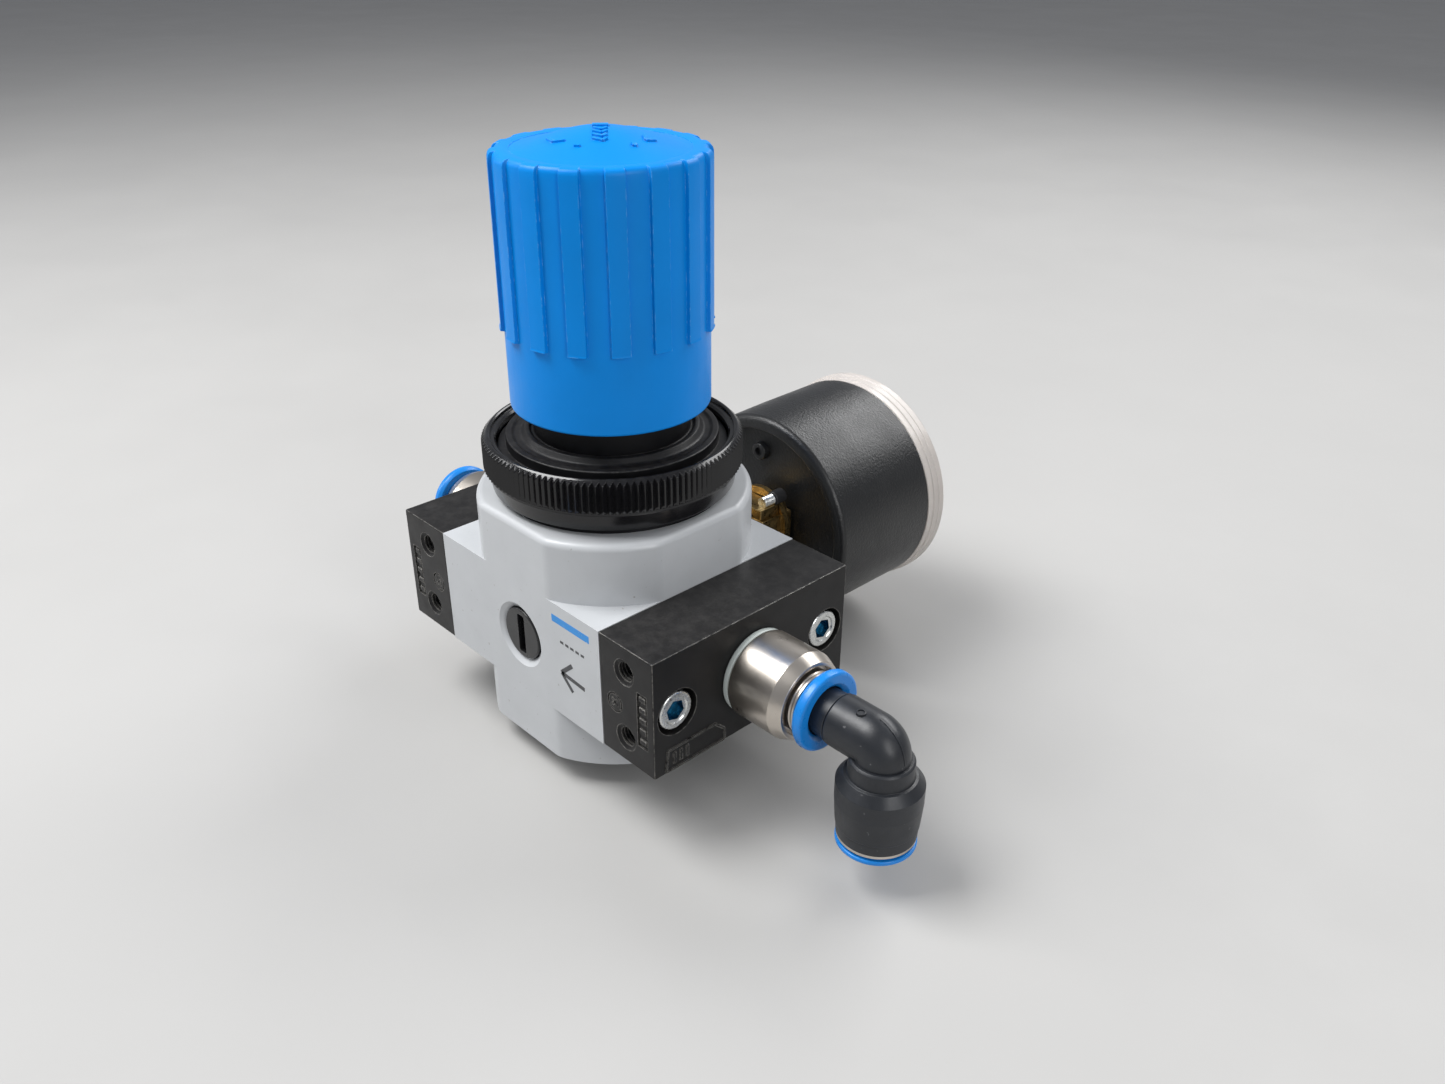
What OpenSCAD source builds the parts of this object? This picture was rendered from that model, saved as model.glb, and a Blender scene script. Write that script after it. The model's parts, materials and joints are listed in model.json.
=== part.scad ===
// Air pressure regulator: a metal body between two port plates, a lift-to-adjust knob,
// a rear pressure gauge and push-in tube fittings, one of them with a plug-in elbow.
// Millimetres. The origin is the centre of the bottom cap's underside, on the knob axis.
// +Z runs up the knob axis, +X to the elbow's side and -Y to the face with the port plug.

/* [Body] */
// Width and depth of the square body
body_w = 55; // [54:0.5:56]
// Radius that rounds the corners of the tower and of the lower body
tower_r = 29.8; // [29:0.1:31]
// Height of the body between the port plates
block_h = 27.5; // [27:0.5:28]
// Height of the tower above the port plates
tower_h = 13.75; // [13:0.25:15]
// Height of the port axis above the lower end of the body
axis_above_body = 26.5; // [26:0.5:28]
// Height of the bottom cap below the body
cap_h = 6; // [5:0.5:8]
// Radius of the bottom cap
cap_r = 21; // [20:0.5:24]

/* [Port plates] */
// Thickness of each port plate
plate_t = 16; // [15:0.5:18]
// Radius of the port thread
port_r = 8.33; // [8:0.01:8.5]
// Distance between the front threaded holes of the two plates
hole_pitch_x = 70; // [69:0.5:71]
// Height between the threaded holes of one plate
hole_pitch_z = 15.6; // [15:0.1:16.5]
// Core radius of the threaded holes
hole_r = 2.1; // [2:0.05:2.5]
// Depth of the threaded holes
hole_depth = 14; // [10:1:15]
// Distance of each plate screw from the port axis
screw_y = 21.3; // [20.5:0.1:21.5]

/* [Bonnet and ring nut] */
// Radius of the bonnet's outer thread
bonnet_thread_r = 24.4; // [24:0.1:24.6]
// Radius of the bonnet's upper disc
disc_r = 23.4; // [22:0.1:24]
// Height of the disc's upper face above the tower
disc_up = 12.75; // [12:0.25:14]
// Radius of the bonnet's neck
neck_r = 16.5; // [16:0.1:16.6]
// Outer radius of the ring nut
nut_r = 27.6; // [27:0.1:28]
// Height of the ring nut
nut_h = 11.4; // [10:0.1:11.5]
// Gap between the tower and the ring nut
nut_gap = 1.5; // [1:0.1:1.6]

/* [Knob] */
// Radius of the knob between its ribs
knob_r = 20.9; // [20.5:0.1:21]
// Radius over the knob's ribs
rib_r = 21.6; // [21.2:0.1:21.8]
// Number of ribs round the knob
rib_count = 16; // [12:1:18]
// Width of one rib
rib_w = 3.9; // [3:0.1:4.5]
// Height of the knob's lower edge above the tower, with the knob lifted
knob_up = 19.3; // [19:0.1:20]
// Height of the knob from its lower edge to its upper rim
knob_h = 51.1; // [49:0.1:52]
// Height of the plain band below the ribs
rib_start = 16.2; // [14:0.1:17]
// Height of the domed cap over the upper rim
dome_h = 3.9; // [3:0.1:4.5]
// Radius of the domed cap
dome_r = 17.5; // [17:0.1:18]

/* [Fittings] */
// Radius of the fitting's metal body
fitting_r = 9.6; // [9.2:0.1:10]
// Length of the fitting from the washer to its outer end
fitting_l = 14; // [13:0.5:15]
// Thickness of the sealing washer
washer_t = 1.5; // [1:0.1:2]
// Radius of the washer
washer_r = 9.1; // [9:0.1:9.5]
// Radius of the bore that takes the tube
tube_r = 5.1; // [5.08:0.01:5.15]
// Radius of the release ring's flange
release_r = 8.6; // [8:0.1:8.8]

/* [Elbow] */
// Radius of the elbow's plug-in stem
stem_r = 5.03; // [5:0.01:5.05]
// Distance of the elbow's outlet axis from the knob axis
elbow_x = 77.6; // [76:0.1:79]
// Largest radius of the elbow's outlet
elbow_r = 8.7; // [8.4:0.1:8.9]
// Depth of the outlet's end below the port axis
elbow_drop = 23.25; // [23:0.05:24]

/* [Gauge] */
// Radius of the gauge case
case_r = 26.8; // [26:0.1:27]
// Radius of the gauge window
window_r = 27.5; // [27.2:0.1:28]
// Height of the gauge axis above the port axis
gauge_up = 1.7; // [1:0.1:2]
// Distance of the case's back from the knob axis
case_y0 = 46.5; // [46:0.1:47]
// Distance of the case's front edge from the knob axis
case_y1 = 78.5; // [78:0.1:79]
// Distance of the window's face from the knob axis
window_y1 = 84.5; // [84:0.1:85]
// Width across the flats of the gauge's square socket
socket_af = 14.5; // [14:0.5:15]

/* [Hidden] */
$fn = 96;

// Heights up the knob axis
axis_z = cap_h + axis_above_body;
block_z0 = axis_z - block_h / 2;
block_z1 = axis_z + block_h / 2;
tower_z = block_z1 + tower_h;
disc_z = tower_z + disc_up;
nut_z = tower_z + nut_gap;
knob_z = tower_z + knob_up;
knob_top = knob_z + knob_h;
half_w = body_w / 2;
plate_x = half_w + plate_t;
gauge_z = axis_z + gauge_up;

// Clearance between a threaded or pressed piece and its seat
fit_gap = 0.05;
// Amount by which a cutting shape passes the face it cuts
over = 0.5;

// Valve and spring train
cap_thread_r = 16;
cap_thread_z = cap_h + 9.5;
cap_floor_z = cap_h + 6;
chamber_r = 12;
seat_z = axis_z - 6.5;
seat_h = 5;
seat_r = 9;
seat_hole_r = 5;
outlet_r = 14;
outlet_h = 20;
pocket_r = 8;
pocket_x = 17;
drill_r = 4.2;
drill_l = 14;
drill_x = 24;
drill_down = 10.3;
drill_up = 7.5;
side_drill_r = 2;
side_drill_y = 18;
plate_hole_x = 14;
guide_r = 3.5;
guide_z = 4.5;
stem_valve_r = 2;
poppet_r = 7.2;
poppet_h = 4;
disc_rubber_t = 1.5;
diaphragm_r = 26;
diaphragm_t = 1.2;
diaphragm_z = tower_z - 3;
chamber_top_r = 22.5;
hub_r = 3;
pin_z = diaphragm_z - 7.5;
spring_plate_r = 18;
spring_plate_t = 2.3;
main_coil_r = 11.2;
main_wire_r = 1.3;
nut_block_z = tower_z + 30;
nut_block_h = 6;
neck_top = tower_z + 44;
neck_wall = 4;
neck_bore_r = 14.2;
spindle_r = 4;
journal_r = 5;
collar_r = 8;
thrust_t = 0.7;
hex_af = 11;
hex_h = 15;
hex_gap = 0.1;
collar_h = 2.5;
spindle_z = tower_z + 18;
knob_wall = 2.6;
knob_hub_r = 9;
knob_roof_t = 5.4;
cap_seat = 1.5;
rib_first_deg = -9.8;
key_w = 4;
key_r = 15.2;
lock_count = 36;
lock_r = 17.9;
lock_tooth_deg = 4;
lock_lift = 0.5;

// Port plates, fittings and elbow
plug_r = 6;
plug_chamfer = 1.25;
plug_l = 8;
plug_sink = 0.3;
plug_slot_w = 2;
plug_slot_l = 9;
plug_slot_depth = 2.3;
front_port_y = 16;
gauge_port_y = 17;
thread_start_y = 19;
gauge_thread_r = 6.5;
screw_r = 2.5;
screw_head_r = 4.25;
screw_head_h = 5;
screw_sink = 0.4;
screw_l = 24;
counterbore_r = 5;
seal_wire_r = 0.85;
plate_seal_r = 10.9;
fitting_x = plate_x + washer_t;
fitting_end = fitting_x + fitting_l;
socket_floor = plate_x - 2.5;
tube_seal_x = fitting_x + 4;
seal_groove = 2;
sleeve_r = 6.8;
sleeve_bore_r = 5.2;
collet_bore_r = 6.9;
grab_t = 0.4;
release_gap = 2.5;
release_t = 2.5;
elbow_seal_z = axis_z - 14;
elbow_end_z = axis_z - elbow_drop;
elbow_flange_t = 1.25;
elbow_gap = 0.6;
elbow_ring_t = 0.6;
elbow_body_z = elbow_end_z + elbow_flange_t + elbow_gap + elbow_ring_t;
elbow_bore_r = 3.2;
elbow_leg_r = 5.5;

// Gauge works
case_t = 1.6;
pane_t = 1.5;
case_screw_off = 6;
dial_y = case_y1 - 3.5;
dial_r = 24.6;
arbor_r = 0.8;
pinion_r = 1.8;
sector_r = 14.4;
gear_gap = 0.15;
gear_y = case_y0 + 19;
gear_t = 1.5;
sector_z = gauge_z - pinion_r - sector_r - gear_gap;
bourdon_r = 19.5;
bourdon_y = case_y0 + 9;

// Turns the children's +Z to +X and puts them at x on the port axis
module along_x(x, y = 0, z = axis_z) {
    translate([x, y, z]) rotate([0, 90, 0]) children();
}

// Turns the children's +Z to +Y and puts them at y
module along_y(y, x = 0, z = axis_z) {
    translate([x, y, z]) rotate([-90, 0, 0]) children();
}

// A plain tube standing on z = 0
module tube(r_out, r_in, h) {
    difference() {
        cylinder(r = r_out, h = h);
        translate([0, 0, -over]) cylinder(r = r_in, h = h + 2 * over);
    }
}

// A round sealing ring or one turn of wire
module torus(r, wire_r) {
    rotate_extrude() translate([r, 0]) circle(wire_r, $fn = 32);
}

// A cylinder whose upper edge is cut back by a 45 degree chamfer
module chamfered(r, h, c) {
    rotate_extrude() polygon([[0, 0], [r, 0], [r, h - c], [r - c, h], [0, h]]);
}

// The body's outline above and below the port plates: a square with rounded corners
module tower_plan() {
    intersection() {
        circle(tower_r);
        square(body_w, center = true);
    }
}

// A coil spring from z = 0 to z = h, swept as one closed tube along its helix
module coil_spring(coil_r, wire_r, h, turns, sides, steps_per_turn) {
    steps = turns * steps_per_turn;
    rise = h - 2 * wire_r;
    rings = [for (i = [0:steps]) [for (j = [0:sides - 1])
        let (a = 360 * i / steps_per_turn, b = 360 * j / sides, r = coil_r + wire_r * cos(b))
        [r * cos(a), r * sin(a), wire_r + rise * i / steps + wire_r * sin(b)]]];
    points = [for (ring = rings) for (p = ring) p];
    walls = [for (i = [0:steps - 1]) for (j = [0:sides - 1])
        let (k = (j + 1) % sides)
        [i * sides + j, (i + 1) * sides + j, (i + 1) * sides + k, i * sides + k]];
    start_cap = [for (j = [0:sides - 1]) j];
    end_cap = [for (j = [sides - 1:-1:0]) steps * sides + j];
    polyhedron(points, concat(walls, [start_cap, end_cap]));
}

// Body casting with its port pockets, valve chamber and diaphragm chamber
module main_body() {
    color([0.76, 0.77, 0.79]) difference() {
        union() {
            translate([-half_w, -half_w, block_z0]) cube([body_w, body_w, block_h]);
            intersection() {
                translate([0, 0, cap_h]) linear_extrude(tower_z - cap_h) tower_plan();
                translate([0, 0, cap_h]) chamfered(tower_r, tower_z - cap_h, 1);
            }
        }
        // Bottom cap's seat and valve chamber
        translate([0, 0, cap_h - over]) cylinder(r = cap_thread_r + fit_gap, h = 10 + over);
        translate([0, 0, cap_h]) cylinder(r = chamber_r, h = seat_z - cap_h);
        translate([0, 0, seat_z - over]) cylinder(r = seat_r + fit_gap, h = seat_h + 2 * over);
        // Outlet chamber, diaphragm chamber and the bonnet's seat
        translate([0, 0, seat_z + seat_h]) cylinder(r = outlet_r, h = outlet_h);
        translate([0, 0, block_z1]) cylinder(r = chamber_top_r, h = tower_h);
        translate([0, 0, diaphragm_z]) cylinder(r = diaphragm_r + 0.25, h = 4);
        for (side = [-1, 1]) {
            // Port pockets, one joined low to the valve chamber and one high to the outlet chamber
            along_x(side > 0 ? pocket_x : -half_w - over)
                cylinder(r = pocket_r, h = half_w - pocket_x + over);
            for (y = [-screw_y, screw_y])
                along_x(side > 0 ? plate_hole_x : -half_w - over, y)
                    cylinder(r = screw_r + fit_gap, h = half_w - plate_hole_x + over);
        }
        along_x(drill_x - drill_l, 0, axis_z - drill_down) cylinder(r = drill_r, h = drill_l);
        along_x(-drill_x, 0, axis_z + drill_up) cylinder(r = drill_r, h = drill_l);
        // Gauge port at the back and plugged port at the front, with its chamfer
        along_y(gauge_port_y) cylinder(r = gauge_thread_r + fit_gap, h = half_w);
        along_y(-half_w - over) cylinder(r = plug_r + fit_gap, h = half_w - front_port_y + over);
        along_y(-half_w - 0.01) cylinder(r1 = plug_r + plug_chamfer, r2 = plug_r, h = plug_chamfer);
        along_y(-side_drill_y, 0, axis_z + side_drill_r) cylinder(r = side_drill_r, h = 2 * side_drill_y);
    }
}

// Port plate on the +X side, with its port, screw holes and threaded mounting holes
module port_plate() {
    difference() {
        translate([half_w, -half_w, block_z0]) cube([plate_t, body_w, block_h]);
        along_x(half_w - over) cylinder(r = port_r, h = plate_t + 2 * over);
        along_x(half_w) tube(plate_seal_r + 1.3, plate_seal_r - 1.3, 2 * seal_wire_r);
        for (y = [-screw_y, screw_y]) {
            along_x(half_w - over, y) cylinder(r = screw_r + 0.15, h = plate_t + 2 * over);
            along_x(plate_x - screw_head_h - screw_sink, y) cylinder(r = counterbore_r, h = plate_t);
        }
        for (z = [-1, 1]) {
            along_y(-half_w - over, hole_pitch_x / 2, axis_z + z * hole_pitch_z / 2)
                cylinder(r = hole_r, h = hole_depth + over);
            along_y(half_w - hole_depth, hole_pitch_x / 2, axis_z + z * hole_pitch_z / 2)
                cylinder(r = hole_r, h = hole_depth + over);
        }
    }
}

module right_port_plate() {
    color([0.13, 0.12, 0.12]) port_plate();
}

module left_port_plate() {
    color([0.13, 0.12, 0.12]) mirror([1, 0, 0]) port_plate();
}

// Socket-head screws that hold the port plates to the body
module port_plate_screws() {
    head_x = plate_x - screw_sink;
    color([0.72, 0.72, 0.72]) for (side = [0, 1], y = [-screw_y, screw_y])
        mirror([side, 0, 0]) difference() {
            union() {
                along_x(head_x - screw_head_h, y) chamfered(screw_head_r, screw_head_h, 0.4);
                along_x(head_x - screw_l, y) cylinder(r = screw_r, h = screw_l - 1);
            }
            along_x(head_x - 2.8, y) cylinder(r = 2.31, h = 4, $fn = 6);
        }
}

// Sealing rings between the body and the port plates
module port_plate_seals() {
    color([0.08, 0.08, 0.08]) for (side = [-1, 1])
        along_x(side * (half_w + seal_wire_r)) torus(plate_seal_r, seal_wire_r);
}

// Slotted plug in the front port
module front_port_plug() {
    color([0.1, 0.1, 0.1]) difference() {
        along_y(-half_w + plug_sink) cylinder(r = plug_r, h = plug_l);
        translate([-plug_slot_w / 2, -half_w, axis_z - plug_slot_l / 2])
            cube([plug_slot_w, plug_slot_depth, plug_slot_l]);
    }
}

module front_plug_seal() {
    color([0.08, 0.08, 0.08]) along_y(-half_w + 9.3) torus(plug_r - 1, 0.95);
}

// Bottom cap with the valve's guide; the regulator stands on it
module bottom_cap() {
    color([0.12, 0.12, 0.12]) difference() {
        union() {
            translate([0, 0, cap_h]) mirror([0, 0, 1]) chamfered(cap_r, cap_h, 1);
            translate([0, 0, cap_h - over]) cylinder(r = cap_thread_r, h = cap_thread_z - cap_h + over);
        }
        translate([0, 0, guide_z]) cylinder(r = guide_r + fit_gap, h = cap_thread_z);
        translate([0, 0, cap_floor_z]) cylinder(r = 8, h = cap_thread_z);
        translate([0, 0, cap_h + 4.6]) tube(cap_thread_r + 1, 13.8, 2.3);
        for (i = [0:7]) rotate(45 * i) translate([cap_r + 1.5, 0, -over]) cylinder(r = 3, h = cap_h + over);
    }
}

module bottom_cap_seal() {
    color([0.08, 0.08, 0.08]) translate([0, 0, cap_h + 5.75]) torus(14.9, 1.1);
}

// Bonnet: thread for the ring nut, disc, neck with locking teeth, and the spring's housing
module bonnet() {
    color([0.1, 0.1, 0.105]) difference() {
        union() {
            translate([0, 0, diaphragm_z + diaphragm_t])
                cylinder(r = diaphragm_r + 0.2, h = tower_z - diaphragm_z - diaphragm_t);
            translate([0, 0, tower_z - over]) cylinder(r = bonnet_thread_r, h = disc_up);
            translate([0, 0, disc_z - 1]) chamfered(disc_r, 1, 0.4);
            translate([0, 0, disc_z - over]) chamfered(neck_r + 1.3, 1.4 + over, 0.5);
            translate([0, 0, disc_z - over]) chamfered(neck_r, neck_top - disc_z + over, 0.5);
            translate([0, 0, neck_top - 6.5]) linear_extrude(3.2) lock_teeth(neck_r - 0.5, lock_r, 0);
        }
        translate([0, 0, tower_z - 4]) cylinder(r = 22, h = 11);
        translate([0, 0, tower_z]) cylinder(r = neck_bore_r, h = neck_top - neck_wall - tower_z);
        translate([0, 0, tower_z]) cylinder(r = journal_r + fit_gap, h = neck_top);
        for (side = [-1, 1])
            translate([side * (key_r + 0.2) / 2, 0, (tower_z + neck_top - neck_wall) / 2])
                cube([key_r + 0.2, key_w + 0.2, neck_top - neck_wall - tower_z], center = true);
    }
}

// A ring of evenly spaced teeth between two radii, in plan
module lock_teeth(r_in, r_out, start_deg) {
    half = lock_tooth_deg / 2;
    for (i = [0:lock_count - 1]) rotate(start_deg + i * 360 / lock_count)
        polygon([for (p = [[r_in, -half], [r_out, -half], [r_out, half], [r_in, half]])
            [p[0] * cos(p[1]), p[0] * sin(p[1])]]);
}

module thrust_washer() {
    color([0.85, 0.83, 0.78]) translate([0, 0, neck_top - neck_wall - thrust_t])
        tube(collar_r, journal_r + 0.2, thrust_t);
}

// Pressed-in valve seat
module valve_seat() {
    color([0.7, 0.55, 0.25]) translate([0, 0, seat_z]) tube(seat_r, seat_hole_r, seat_h);
}

// Rubber diaphragm with one rolled convolution
module diaphragm() {
    roll_r = 20;
    color([0.12, 0.12, 0.12]) rotate_extrude() difference() {
        union() {
            translate([hub_r + 0.1, diaphragm_z]) square([diaphragm_r - hub_r - 0.1, diaphragm_t]);
            translate([roll_r, diaphragm_z]) circle(1.9);
        }
        translate([roll_r, diaphragm_z]) circle(0.8);
        translate([0, diaphragm_z - 5]) square([40, 5]);
    }
}

module valve_spring() {
    color([0.7, 0.7, 0.72]) translate([0, 0, cap_floor_z])
        coil_spring(5.4, 0.6, seat_z - disc_rubber_t - poppet_h - cap_floor_z, 5, 6, 16);
}

module main_spring() {
    spring_z = diaphragm_z + diaphragm_t + spring_plate_t;
    color([0.7, 0.7, 0.72]) translate([0, 0, spring_z])
        coil_spring(main_coil_r, main_wire_r, nut_block_z - spring_z, 7, 8, 18);
}

// Push-in fitting on the +X side, without its release ring
module fitting_body() {
    inner_x = plate_x - 10;
    difference() {
        union() {
            along_x(inner_x) cylinder(r = port_r - 0.03, h = fitting_x - inner_x + over);
            along_x(fitting_x) cylinder(r = fitting_r, h = fitting_l - 2);
            along_x(fitting_end - 2) cylinder(r1 = fitting_r, r2 = fitting_r - 1.2, h = 2);
        }
        along_x(inner_x - over) cylinder(r = 4, h = plate_x - inner_x);
        along_x(socket_floor) cylinder(r = tube_r, h = fitting_end);
        along_x(tube_seal_x) cylinder(r = collet_bore_r, h = fitting_end);
    }
}

module right_fitting_body() {
    color([0.68, 0.65, 0.6]) fitting_body();
}

module left_fitting_body() {
    color([0.68, 0.65, 0.6]) mirror([1, 0, 0]) fitting_body();
}

module fitting_washers() {
    color([0.85, 0.9, 0.88]) for (side = [0, 1])
        mirror([side, 0, 0]) along_x(plate_x) tube(washer_r, port_r, washer_t);
}

// Toothed rings that hold the tube, next to their seals
module grab_ring() {
    tube(collet_bore_r, tube_r + 0.05, grab_t);
}

module tube_grab_rings() {
    color([0.75, 0.75, 0.77]) for (side = [0, 1])
        mirror([side, 0, 0]) along_x(tube_seal_x + seal_groove + 0.2) grab_ring();
}

module tube_seals() {
    color([0.08, 0.08, 0.08]) for (side = [0, 1])
        mirror([side, 0, 0]) along_x(tube_seal_x + seal_groove / 2) torus(6, 0.84);
}

// Release ring with its sleeve, on the +X side
module release_ring() {
    flange_x = fitting_end + release_gap;
    sleeve_x = tube_seal_x + seal_groove + 2.2;
    difference() {
        union() {
            along_x(sleeve_x) cylinder(r = sleeve_r, h = flange_x - sleeve_x + over);
            along_x(flange_x) chamfered(release_r, release_t, 0.5);
        }
        along_x(sleeve_x - over) cylinder(r = sleeve_bore_r, h = 30);
        along_x(flange_x + release_t - 0.8) cylinder(r1 = sleeve_bore_r, r2 = sleeve_bore_r + 0.9, h = 0.9);
    }
}

module right_release_ring() {
    color([0.15, 0.45, 0.85]) release_ring();
}

module left_release_ring() {
    color([0.15, 0.45, 0.85]) mirror([1, 0, 0]) release_ring();
}

// Elbow: a plug-in stem along the port axis that turns down to its own push-in socket
module elbow_body() {
    elbow_x0 = socket_floor + 0.3;
    color([0.13, 0.13, 0.14]) difference() {
        union() {
            along_x(elbow_x0) cylinder(r = stem_r, h = elbow_x - elbow_x0);
            along_x(fitting_end + release_gap + release_t + 2) cylinder(r = elbow_leg_r, h = 9.6);
            translate([elbow_x, 0, axis_z]) sphere(elbow_leg_r);
            translate([elbow_x, 0, axis_z - 6]) cylinder(r = elbow_leg_r, h = 6);
            translate([elbow_x, 0, 0]) rotate_extrude() polygon([
                [0, elbow_body_z], [elbow_r - 0.6, elbow_body_z], [elbow_r, axis_z - 12],
                [elbow_r, axis_z - 8.5], [elbow_leg_r, axis_z - 5], [0, axis_z - 5]]);
        }
        along_x(elbow_x0 - over) cylinder(r = elbow_bore_r, h = elbow_x - elbow_x0 + over);
        translate([elbow_x, 0, axis_z - 20]) cylinder(r = elbow_bore_r, h = 20);
        translate([elbow_x, 0, 0]) cylinder(r = tube_r, h = axis_z - 9);
        translate([elbow_x, 0, 0]) cylinder(r = collet_bore_r, h = elbow_seal_z);
    }
}

module elbow_end_ring() {
    color([0.68, 0.65, 0.6]) translate([elbow_x, 0, elbow_body_z - elbow_ring_t])
        tube(elbow_r - 0.8, collet_bore_r, elbow_ring_t);
}

module elbow_grab_ring() {
    color([0.75, 0.75, 0.77]) translate([elbow_x, 0, elbow_seal_z - seal_groove - 0.2 - grab_t]) grab_ring();
}

module elbow_tube_seal() {
    color([0.08, 0.08, 0.08]) translate([elbow_x, 0, elbow_seal_z - seal_groove / 2]) torus(6, 0.84);
}

module elbow_release_ring() {
    sleeve_h = elbow_seal_z - seal_groove - 1.6 - elbow_end_z;
    color([0.15, 0.45, 0.85]) translate([elbow_x, 0, elbow_end_z]) difference() {
        union() {
            cylinder(r = sleeve_r, h = sleeve_h);
            cylinder(r = release_r - 0.5, h = elbow_flange_t);
        }
        translate([0, 0, -over]) cylinder(r = sleeve_bore_r, h = sleeve_h + 2 * over);
        translate([0, 0, -0.1]) cylinder(r1 = sleeve_bore_r + 0.9, r2 = sleeve_bore_r, h = 0.9);
    }
}

// Knurled nut that clamps a panel against the tower
module panel_ring_nut() {
    color([0.06, 0.06, 0.065]) translate([0, 0, nut_z]) difference() {
        rotate_extrude() polygon([
            [0, 0], [nut_r - 1.5, 0], [nut_r - 0.9, 4], [nut_r, 4.3],
            [nut_r, nut_h - 0.8], [nut_r - 0.5, nut_h], [0, nut_h]]);
        translate([0, 0, -over]) cylinder(r = bonnet_thread_r + fit_gap, h = nut_h + 2 * over);
    }
}

// Spindle: thread for the spring nut, thrust collar, journal and hexagonal head
module adjusting_spindle() {
    collar_top = neck_top - neck_wall - thrust_t;
    color([0.7, 0.6, 0.35]) union() {
        translate([0, 0, spindle_z]) cylinder(r = spindle_r, h = collar_top - spindle_z);
        translate([0, 0, collar_top - collar_h]) cylinder(r = collar_r, h = collar_h);
        translate([0, 0, collar_top - over]) cylinder(r = journal_r, h = neck_top - collar_top + 2 * over);
        translate([0, 0, neck_top + hex_gap]) cylinder(r = hex_af / sqrt(3), h = hex_h - hex_gap, $fn = 6);
    }
}

// Knob shell with ribs, locking teeth and a hexagonal socket for the spindle
module adjusting_knob() {
    wall_r = knob_r - knob_wall;
    roof_z = knob_top - knob_roof_t;
    socket_z = neck_top + 5;
    color([0.0, 0.45, 0.8]) difference() {
        union() {
            translate([0, 0, knob_z]) chamfered(knob_r, knob_h, 1);
            intersection() {
                translate([0, 0, knob_z + rib_start]) linear_extrude(knob_h - rib_start) knob_ribs();
                translate([0, 0, knob_z]) chamfered(rib_r, knob_h, 1.6);
            }
        }
        difference() {
            translate([0, 0, knob_z - over]) cylinder(r = wall_r, h = roof_z - knob_z + over);
            translate([0, 0, socket_z]) cylinder(r = knob_hub_r, h = knob_h);
            translate([0, 0, neck_top - 6.5 + 3.2 + lock_lift])
                linear_extrude(2) lock_teeth(neck_r + 0.4, wall_r + 1, 180 / lock_count);
        }
        translate([0, 0, socket_z - over]) cylinder(r = (hex_af + 0.2) / sqrt(3), h = hex_h + over, $fn = 6);
        translate([0, 0, knob_top - cap_seat]) cylinder(r = dome_r + fit_gap, h = 2 * cap_seat);
    }
}

// Ribs of the knob in plan
module knob_ribs() {
    for (i = [0:rib_count - 1]) rotate(rib_first_deg + i * 360 / rib_count)
        translate([knob_r - 2, -rib_w / 2]) square([rib_r - knob_r + 2, rib_w]);
}

// Domed cap in the knob's top
module knob_cap() {
    ball_r = (dome_r * dome_r + dome_h * dome_h) / (2 * dome_h);
    color([0.0, 0.45, 0.8]) union() {
        translate([0, 0, knob_top - cap_seat]) cylinder(r = dome_r, h = cap_seat);
        intersection() {
            translate([0, 0, knob_top - over]) cylinder(r = dome_r, h = dome_h + over);
            translate([0, 0, knob_top + dome_h - ball_r]) sphere(ball_r);
        }
    }
}

// Nut that rides on the spindle and presses the main spring; its keys slide in the bonnet
module spring_nut() {
    color([0.75, 0.75, 0.77]) translate([0, 0, nut_block_z]) difference() {
        union() {
            cylinder(r = neck_bore_r - 0.1, h = nut_block_h);
            translate([0, 0, nut_block_h / 2]) cube([2 * key_r, key_w, nut_block_h], center = true);
        }
        translate([0, 0, -over]) cylinder(r = spindle_r + fit_gap, h = nut_block_h + 2 * over);
    }
}

// Plate over the diaphragm that carries the main spring
module spring_plate() {
    color([0.75, 0.75, 0.77]) translate([0, 0, diaphragm_z + diaphragm_t]) difference() {
        union() {
            cylinder(r = spring_plate_r, h = spring_plate_t);
            cylinder(r = main_coil_r - main_wire_r - 0.5, h = spring_plate_t + 1.5);
        }
        translate([0, 0, -over]) cylinder(r = hub_r + fit_gap, h = 6);
    }
}

// Plate under the diaphragm, with the hub that holds the stack and the pin over the valve
module lower_plate() {
    color([0.7, 0.55, 0.25]) union() {
        translate([0, 0, diaphragm_z - 2]) cylinder(r = 15, h = 2);
        translate([0, 0, diaphragm_z - over]) cylinder(r = hub_r, h = 6 + over);
        translate([0, 0, pin_z]) cylinder(r = 4, h = diaphragm_z - 1 - pin_z);
    }
}

// Valve plunger: guide, poppet and stem
module valve_plunger() {
    poppet_z = seat_z - disc_rubber_t - poppet_h;
    color([0.7, 0.55, 0.25]) union() {
        translate([0, 0, guide_z + 4.5]) cylinder(r = guide_r, h = poppet_z - guide_z - 4.5 + over);
        translate([0, 0, poppet_z]) cylinder(r = poppet_r, h = poppet_h);
        translate([0, 0, poppet_z + over]) cylinder(r = stem_valve_r, h = pin_z - fit_gap - poppet_z - over);
    }
}

module valve_disc() {
    color([0.08, 0.08, 0.08]) translate([0, 0, seat_z - disc_rubber_t])
        tube(poppet_r, stem_valve_r, disc_rubber_t - fit_gap);
}

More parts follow.
